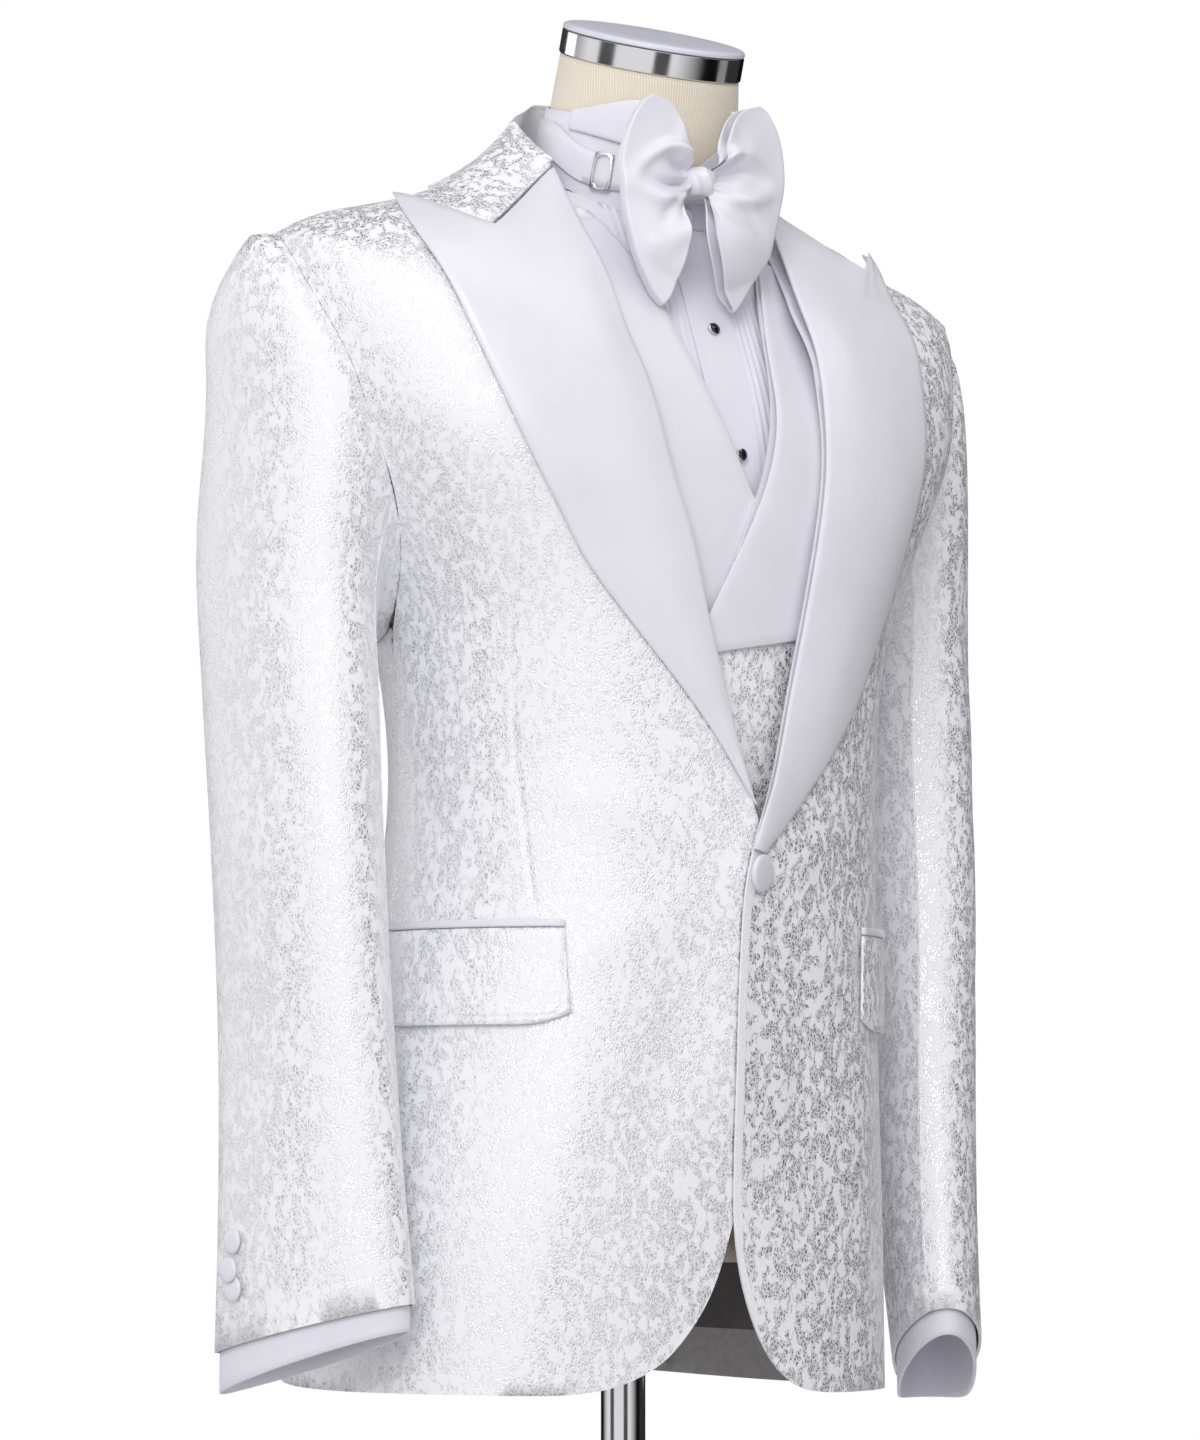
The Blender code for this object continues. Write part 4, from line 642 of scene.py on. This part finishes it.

# ---------------------------------------------------------------- jacket body
# Brocade fronts, side panels and back, sewn edge to edge and lined in satin painted near black
# as painted shade for the jacket's shadowed inside, with a hem turned up inside. A dart shapes
# each front, and the left front's edge is bound.
# Painted shade: the lining's near-black colour stands in for the shadow inside the jacket.
shade_painted_lining = woven("lining_painted_dark_shade", (0.060, 0.056, 0.055), (0.110, 0.102, 0.098), 0.42, 2600.0, 0.05)
# Painted shade: the turned-up hem is the white brocade itself, coloured grey for the shadow it lies in
# inside the jacket.
painted_shade_hem = material("hem_turn_up_painted_shade", 0.6, colour=(0.30, 0.29, 0.29))
tree = painted_shade_hem.node_tree
soft = noise(tree, object_place(tree), 220.0, detail=3)
tree.links.new(blend(tree, soft.outputs[0], (0.24, 0.23, 0.23), (0.40, 0.39, 0.40)),
               tree.nodes["Principled BSDF"].inputs["Base Color"])
raise_by(tree, soft.outputs[0], tree.nodes["Principled BSDF"], 0.3, 0.0005)
HEM_TURN_UP = 0.838       # below this the inside is the cloth's own turned-up hem
LINED_TO = 1.478          # above this the body's lining is covered by the collar
CROWN = 1.385             # above this cloth closes over the shoulder, so its inside looks down


def line_inside(thing, axis_of):
    """Gives the faces that look towards the axis the second material, the lining painted near black as
    shade, and those on the hem the third, painted grey as shade.
    """
    for face in thing.data.polygons:
        if face.center.z > LINED_TO:
            continue
        x, y = axis_of(face.center)
        inwards = Vector((x - face.center.x, y - face.center.y, min(CROWN - face.center.z, 0)))
        if inwards.normalized().dot(face.normal) > 0.35:
            face.material_index = 2 if face.center.z < HEM_TURN_UP else 1


def press(points, folds, seen=0, face=-1, away=(0.0, 0.0)):
    """Soft troughs and ridges along lines seen from the front (seen 0) or side (seen 1).

    A fold's row is its two ends across and up, its width and its depth; ridges stand out
    from the upright axis through away, and only the face side of the piece moves."""
    other = 1 - seen
    near = points[:, other] * face > np.median(points[:, other] * face) - 0.09
    outwards = points[:, :2] - np.array(away)
    outwards = outwards / np.maximum(np.linalg.norm(outwards, axis=1, keepdims=True), 0.001)
    moved = points.copy()
    flat = points[:, (seen, 2)]
    for start_across, start_up, end_across, end_up, width, depth in folds:
        start = np.array((start_across, start_up))
        line = np.array((end_across, end_up)) - start
        share = np.clip(((flat - start) @ line) / (line @ line), 0, 1)
        distance = np.linalg.norm(flat - start - share[:, None] * line, axis=1)
        swell = depth * np.exp(-(distance / width) ** 2) * np.sin(math.pi * (0.1 + 0.8 * share)) * near
        moved[:, :2] += outwards * swell[:, None]
    return moved


COAT_AXIS = (-0.008, 0.010)
FRONT_FOLDS = {
    RIGHT: ((-0.030, 1.125, -0.115, 1.160, 0.011, 0.0022),
            (-0.030, 1.095, -0.120, 1.055, 0.013, 0.0020),
            (-0.045, 1.060, -0.075, 0.930, 0.016, -0.0022),
            (-0.105, 1.040, -0.125, 0.850, 0.020, 0.0024),
            (-0.150, 1.360, -0.120, 1.230, 0.016, -0.0020),
            (-0.165, 1.250, -0.130, 1.120, 0.014, 0.0018)),
    LEFT: ((0.010, 1.110, 0.075, 1.150, 0.011, 0.0022),
           (0.015, 1.090, 0.085, 1.040, 0.013, 0.0020),
           (0.030, 1.050, 0.045, 0.900, 0.014, -0.0022),
           (0.085, 1.030, 0.095, 0.850, 0.018, 0.0024),
           (0.150, 1.330, 0.125, 1.200, 0.016, -0.0020)),
}
BACK_FOLDS = {
    RIGHT: ((-0.060, 1.330, -0.020, 1.180, 0.018, -0.0022), (-0.090, 1.000, -0.110, 0.840, 0.022, 0.0026),
            (-0.140, 1.380, -0.110, 1.250, 0.016, -0.0022)),
    LEFT: ((0.065, 1.310, 0.025, 1.170, 0.018, -0.0022), (0.075, 0.990, 0.100, 0.840, 0.022, 0.0026),
           (0.135, 1.390, 0.115, 1.240, 0.016, -0.0020)),
}
# The fronts stand out in a soft ridge along the closing edge: height and place across.
RIDGE_LINE = ((0.88, -0.012), (0.97, -0.018), (1.06, -0.018), (1.11, -0.015), (1.16, 0.000), (1.24, 0.014))
RIDGE_DEPTH, RIDGE_WIDTH, RIDGE_IN_FRONT_OF = 0.0085, 0.022, -0.10
RIDGE_TOP, RIDGE_FOOT = 1.25, 0.87
DART_TOP, DART_FOOT = (0.139, 1.310), (0.124, 1.083)
BOUND_WIDTH, BOUND_TO = 0.0055, 1.17


def ridge(points):
    """The closing edge's ridge, which dies out above and below."""
    heights, places = zip(*RIDGE_LINE)
    crest = np.interp(points[:, 2], heights, places)
    upper = np.clip((RIDGE_TOP - points[:, 2]) / 0.10, 0, 1)
    lower = np.clip((points[:, 2] - RIDGE_FOOT) / 0.14, 0, 1)
    share = np.minimum(upper, lower)
    share = share * share * (3 - 2 * share) * (points[:, 1] < RIDGE_IN_FRONT_OF)
    aside = np.sqrt((points[:, 0] - crest) ** 2 + 0.003 ** 2) / RIDGE_WIDTH
    moved = points.copy()
    moved[:, 1] -= RIDGE_DEPTH * share * np.exp(-aside)
    return moved


def store(mesh, name, values):
    """Keeps a value for every point of a mesh, for its material to read."""
    layer = mesh.attributes.new(name, "FLOAT", "POINT")
    layer.data.foreach_set("value", np.asarray(values, dtype=np.float32))


def mark_dart(mesh, side):
    """The dart's sewn line, by how far each point lies beside it."""
    points = points_of(mesh)
    line = np.interp(points[:, 2], (DART_FOOT[1], DART_TOP[1]), (DART_FOOT[0], DART_TOP[0]))
    store(mesh, "seam_line", points[:, 0] * side - line)
    fade = np.clip((DART_TOP[1] - points[:, 2]) / 0.02, 0, 1)
    fade *= np.clip((points[:, 2] - DART_FOOT[1]) / 0.01, 0, 1)
    store(mesh, "seam_here", fade * (points[:, 1] < -0.04))


def mark_bound(mesh, node, side):
    """The bound edge: 1 on the front's edge, falling to one half at the binding's width."""
    points = points_of(mesh)
    levels, out = inner_edge(node, side, 60)
    distance = points[:, 0] * side - np.interp(points[:, 2], levels, out)
    low = np.clip((BOUND_TO - points[:, 2]) / 0.01, 0, 1)
    store(mesh, "bound_edge", np.clip(1 - distance / BOUND_WIDTH / 2, 0, 1) * low)


PAD_END, PAD_LIFT, PAD_REACH = (-0.212, 0.028), 0.0055, 0.032
HEAD_FROM, HEAD_LEVEL, HEAD_TALL = -0.205, 1.448, 0.045
HEAD_FULLNESS, HEAD_WAY = 0.010, (-0.9, 0.4, 0.25)


def padded_shoulder(points):
    """The pad under the right shoulder's end lifts it and rounds the sleeve's head out."""
    moved = points.copy()
    away = np.hypot(points[:, 0] - PAD_END[0], points[:, 1] - PAD_END[1])
    moved[:, 2] += PAD_LIFT * np.exp(-(away / PAD_REACH) ** 2) * np.clip((points[:, 2] - 1.40) / 0.06, 0, 1)
    full = np.clip((HEAD_FROM - points[:, 0]) / 0.025, 0, 1)
    full *= np.exp(-((points[:, 2] - HEAD_LEVEL) / HEAD_TALL) ** 2)
    moved += (full * HEAD_FULLNESS)[:, None] * np.array(HEAD_WAY)
    return moved


for side, end in SIDES:
    front = cloth_piece("jacket_front" + end, "coat_front" + end, [brocade, shade_painted_lining, painted_shade_hem, satin],
                        shape=lambda points, rows=FRONT_FOLDS[side]: padded_shoulder(
                            ridge(press(points, rows, away=COAT_AXIS))))
    line_inside(front, lambda centre: COAT_AXIS)
    face_edge(front, "coat_lapel" + end, side, 3)
    mark_dart(front.data, side)
    if side == LEFT:
        mark_bound(front.data, "coat_front" + end, side)
    panel = cloth_piece("jacket_side" + end, "coat_side" + end, [brocade, shade_painted_lining, painted_shade_hem])
    line_inside(panel, lambda centre: COAT_AXIS)
    back = cloth_piece("jacket_back" + end, "coat_back" + end, [brocade, shade_painted_lining, painted_shade_hem],
                       shape=lambda points, rows=BACK_FOLDS[side]: padded_shoulder(
                           press(points, rows, face=1, away=COAT_AXIS)))
    line_inside(back, lambda centre: COAT_AXIS)

# ---------------------------------------------------------------- sleeves and cuffs
# Two-piece sleeves set into the armholes, lined like the body in satin painted near black as shade.
# The shirt's doubled cotton cuffs come out below them, on plain shirt sleeves.
SLEEVE_FOLDS = (
    (0.030, 1.200, -0.030, 1.165, 0.012, -0.0026),
    (0.035, 1.150, -0.020, 1.120, 0.012, 0.0024),
    (-0.055, 1.330, -0.035, 1.240, 0.013, -0.0022),
    (0.070, 1.370, 0.060, 1.260, 0.014, 0.0020),
    (-0.040, 1.060, 0.010, 1.000, 0.014, -0.0020),
    (0.020, 0.990, 0.010, 0.900, 0.014, 0.0016),
)
SLEEVE_AXIS = {RIGHT: -0.226, LEFT: 0.215}
SLEEVE_BACK, SLEEVE_LEAN = 0.004, 0.10       # the sleeve's middle lies further back higher up
ARMHOLE_CLOSE = 0.00060
for side, end in SIDES:
    axis_x = SLEEVE_AXIS[side]
    bend_sleeve = lambda points, x=axis_x, face=side: padded_shoulder(
        press(points, SLEEVE_FOLDS, seen=1, face=face, away=(x, SLEEVE_BACK)))
    for name, node in (("upper_sleeve", "sleeve_top"), ("lower_sleeve", "sleeve_under")):
        piece = cloth_piece(name + end, node + end, [brocade, shade_painted_lining, shade_painted_lining],
                            shape=bend_sleeve, sewn=ARMHOLE_CLOSE)
        line_inside(piece, lambda centre, x=axis_x: (x, SLEEVE_BACK + SLEEVE_LEAN * (centre.z - 1.0)))
    cloth_piece("shirt_arm" + end, "shirt_sleeve" + end, [cotton])
    cloth_piece("double_cuff" + end, "shirt_cuff" + end, [cotton],
                crisp=0.9)

# ---------------------------------------------------------------- lapels, collar and pockets
# Wide peak lapels of satin, rolled over the fronts; a brocade collar folded round the
# neck; straight flaps of brocade under a narrow satin welt.
LAPEL_FOLDS = {
    RIGHT: ((-0.150, 1.470, -0.110, 1.360, 0.016, -0.0010), (-0.100, 1.480, -0.085, 1.380, 0.014, 0.0010),
            (-0.080, 1.300, -0.050, 1.230, 0.012, 0.0008)),
    LEFT: ((0.130, 1.440, 0.115, 1.340, 0.016, -0.0010), (0.090, 1.480, 0.075, 1.380, 0.014, 0.0010),
           (0.070, 1.280, 0.040, 1.200, 0.012, 0.0010)),
}
RIM_WIDTH = 0.0045


def mark_rim(mesh):
    """A pressed line along a flap's sides and foot, a little inside its edge."""
    points = points_of(mesh)
    middle = points.mean(axis=0)
    long_way = np.linalg.svd((points - middle)[:, :2], full_matrices=False)[2][0]
    along = (points - middle)[:, :2] @ long_way
    places = np.linspace(along.min(), along.max(), 14)
    foot = [points[np.abs(along - place) < 0.008, 2].min() for place in places]
    sides = np.minimum(along - along.min(), along.max() - along)
    inside = np.minimum(sides, points[:, 2] - np.interp(along, places, foot))
    store(mesh, "seam_line", inside - RIM_WIDTH)
    store(mesh, "seam_here", np.full(len(points), 0.7))


# The collar's outer edge is pressed down on the right shoulder, and the left lapel's peak
# stands up from its notch: place, height and reach.
COLLAR_SETTLE = ((-0.124, 0.014, 1.534), -0.0045, 0.018)
PEAK_FULLNESS = ((0.137, -0.065, 1.4915), 0.0092, 0.0135)


def moved_up(points, place, by, reach):
    """Points near a place go up, or down with by below nought."""
    moved = points.copy()
    away = np.linalg.norm(points - np.array(place), axis=1)
    moved[:, 2] += by * np.exp(-(away / reach) ** 2)
    return moved


collar = cloth_piece("jacket_collar", "coat_collar", [brocade, satin],
                     crisp=0.9,
                     shape=lambda points: moved_up(points, *COLLAR_SETTLE))
for face in collar.data.polygons:
    outwards = Vector((face.center.x, face.center.y + 0.01, 0)).normalized()
    if face.normal.dot(outwards) < -0.1 or face.normal.z < -0.5:
        face.material_index = 1
for side, end in SIDES:
    cloth_piece("peak_lapel" + end, "coat_lapel" + end, [satin],
                crisp=0.9,
                shape=lambda points, rows=LAPEL_FOLDS[side]: moved_up(
                    ridge(press(points, rows, away=COAT_AXIS)), *PEAK_FULLNESS))
    flap = cloth_piece("flap" + end, "pocket_flap" + end, [brocade],
                       crisp=0.9)
    mark_rim(flap.data)
    cloth_piece("welt" + end, "pocket_welt" + end, [satin],
                crisp=0.9)

# ---------------------------------------------------------------- covered buttons
# One front button and three small ones on each sleeve: a domed metal shell drawn over with
# satin, with a tight rolled rim, sewn on through the cloth.
BUTTON_TURN = 0.30       # the closed fronts' ridge turns the front button aside
BUTTON_OUT = np.array((-0.0015, -0.0012, 0))
button_nodes = ["coat_button"] + ["cuff_button_%d%s" % (n, end) for n in (1, 2, 3) for _, end in SIDES]
for node in button_nodes:
    seat, axis, radius, thick = seat_of(node)
    rows = [(radius * 0.55, 0, 0), (radius * 0.90, thick * 0.12, 0), (radius * 0.985, thick * 0.3, 0),
            (radius, thick * 0.48, 0), (radius * 0.975, thick * 0.66, 0), (radius * 0.88, thick * 0.80, 0),
            (radius * 0.70, thick * 0.90, 0), (radius * 0.45, thick * 0.97, 0), (radius * 0.18, thick, 0)]
    button_mesh = spin(node, rows, seat, axis, 40, [satin])
    if node == "coat_button":
        turned = spin(node, rows, seat, Vector(axis) + Vector((BUTTON_TURN, 0, 0)), 40, [satin])
        put_points(button_mesh, ridge(points_of(turned)) + BUTTON_OUT)
    add_piece("covered_" + node, button_mesh, [node])

# ---------------------------------------------------------------- bow tie
# A large satin butterfly bow: each wing is a folded blade gathered into a wrapped knot,
# on a flat neck strap that a small metal slide shortens.
KNOT = np.array((-0.0085, -0.098, 1.5285))
# Folds that spread from the knot: degrees up from level, degrees they bend by, where they
# are deepest, their length, their width in degrees and their height
BOW_FOLDS = {
    RIGHT: ((70, -22, 0.016, 0.020, 13, 0.0040), (38, -16, 0.013, 0.013, 9, -0.0075),
            (20, 26, 0.024, 0.022, 10, 0.0062), (0, -10, 0.017, 0.016, 7, -0.0085),
            (-18, -14, 0.026, 0.024, 9, 0.0066), (-38, 8, 0.017, 0.020, 8, -0.0060),
            (-60, -10, 0.036, 0.030, 11, 0.0042)),
    LEFT: ((66, -16, 0.018, 0.022, 12, 0.0036), (42, -14, 0.013, 0.014, 8, -0.0065),
           (24, 20, 0.022, 0.022, 10, 0.0056), (6, 10, 0.015, 0.018, 7, -0.0078),
           (-12, -12, 0.024, 0.024, 9, 0.0060), (-32, 8, 0.016, 0.022, 8, -0.0060),
           (-54, -8, 0.040, 0.034, 13, 0.0040)),
}
BOW_INWARD = {RIGHT: 0.0034, LEFT: 0.0085}     # the lower halves' inner edges swing to the right
BOW_DEPTH = 0.0020       # from the middle of a wing to its back layer's seat
FOLDS_FROM, END_CURL, THINNER, KNOT_PULL = 0.008, 0.0040, 0.62, 0.0045
CURL_FROM, CURL_OVER = 0.038, 0.020
WING_LEAN, FOOT_BACK, LAYER_APART = 0.10, 0.22, 0.0045
FOOT_LOWEST, TOP_FROM, FOOT_FROM = 0.078, 0.046, 0.072


def gathered(points, side):
    """Folds that spread from the knot and die out along the wing, whose end curls a little."""
    out = (points[:, 0] - KNOT[0]) * side
    up = points[:, 2] - KNOT[2]
    reach = np.hypot(out, up)
    angle = np.degrees(np.arctan2(up, np.maximum(out, 0.001)))
    start = np.clip((reach - FOLDS_FROM) / FOLDS_FROM, 0, 1)
    swell = 0.0
    for middle, bend, deepest, length, width, height in BOW_FOLDS[side]:
        line = middle + bend * np.sin(np.clip(reach / 0.04, 0, 1.5) * math.pi)
        wider = width * (1 + 0.3 * np.clip(0.02 / np.maximum(reach, 0.006) - 1, 0, 2))
        swell = swell + height * np.exp(-((angle - line) / wider) ** 2 - ((reach - deepest) / length) ** 2)
    curl = END_CURL * np.clip((reach - CURL_FROM) / CURL_OVER, 0, 1.5) ** 2
    curl *= np.sin(np.radians(angle * 1.6 + 40))
    moved = points.copy()
    middle_depth = KNOT[1] + BOW_DEPTH + WING_LEAN * out - FOOT_BACK * np.maximum(0, -up)
    behind = np.clip(points[:, 1] - middle_depth + LAYER_APART, 0, 0.02)
    moved[:, 1] -= swell * start + curl + behind * THINNER
    below = np.clip(-up / 0.018, 0, 1) * np.clip(1 - (-up / FOOT_LOWEST) ** 2, 0, 1)
    moved[:, 0] -= BOW_INWARD[side] * below * np.clip(1 - (out - 0.012) / 0.032, 0, 1)
    tight = np.clip((0.020 - reach) / 0.010, 0, 1)
    moved[:, 0] -= side * KNOT_PULL * tight
    moved[:, 2] -= np.clip(up - TOP_FROM, 0, 0.02) * 0.55 + np.clip(up + FOOT_FROM, -0.02, 0) * 0.35
    return moved


for side, end in SIDES:
    cloth_piece("bow_half" + end, "bow_wing" + end, [satin],
                levels=3, crisp=0.8, shape=lambda points, s=side: gathered(points, s))
knot_mesh = finer("bow_knot", 3, crisp=0.3)
points = points_of(knot_mesh)
up = points[:, 2] - KNOT[2]
KNOT_SHORTER, KNOT_WIDER, KNOT_CREASE = 0.16, 0.12, 0.0012
points[:, 2] -= up * KNOT_SHORTER
points[:, 0] += (points[:, 0] - KNOT[0]) * KNOT_WIDER
creases = np.sin((points[:, 0] - KNOT[0]) * 620 + up * 200)
points[:, 1] -= KNOT_CREASE * creases * (points[:, 1] < KNOT[1])
put_points(knot_mesh, points)
finish_mesh(knot_mesh, [satin])
knot = add_piece("bow_centre", knot_mesh, ["bow_knot"])
cloth_piece("neck_strap", "tie_strap", [satin])
slide_mesh = finer("tie_slide", 2, crisp=0.6)
finish_mesh(slide_mesh, [chrome])
add_piece("strap_slide", slide_mesh, ["tie_slide"])
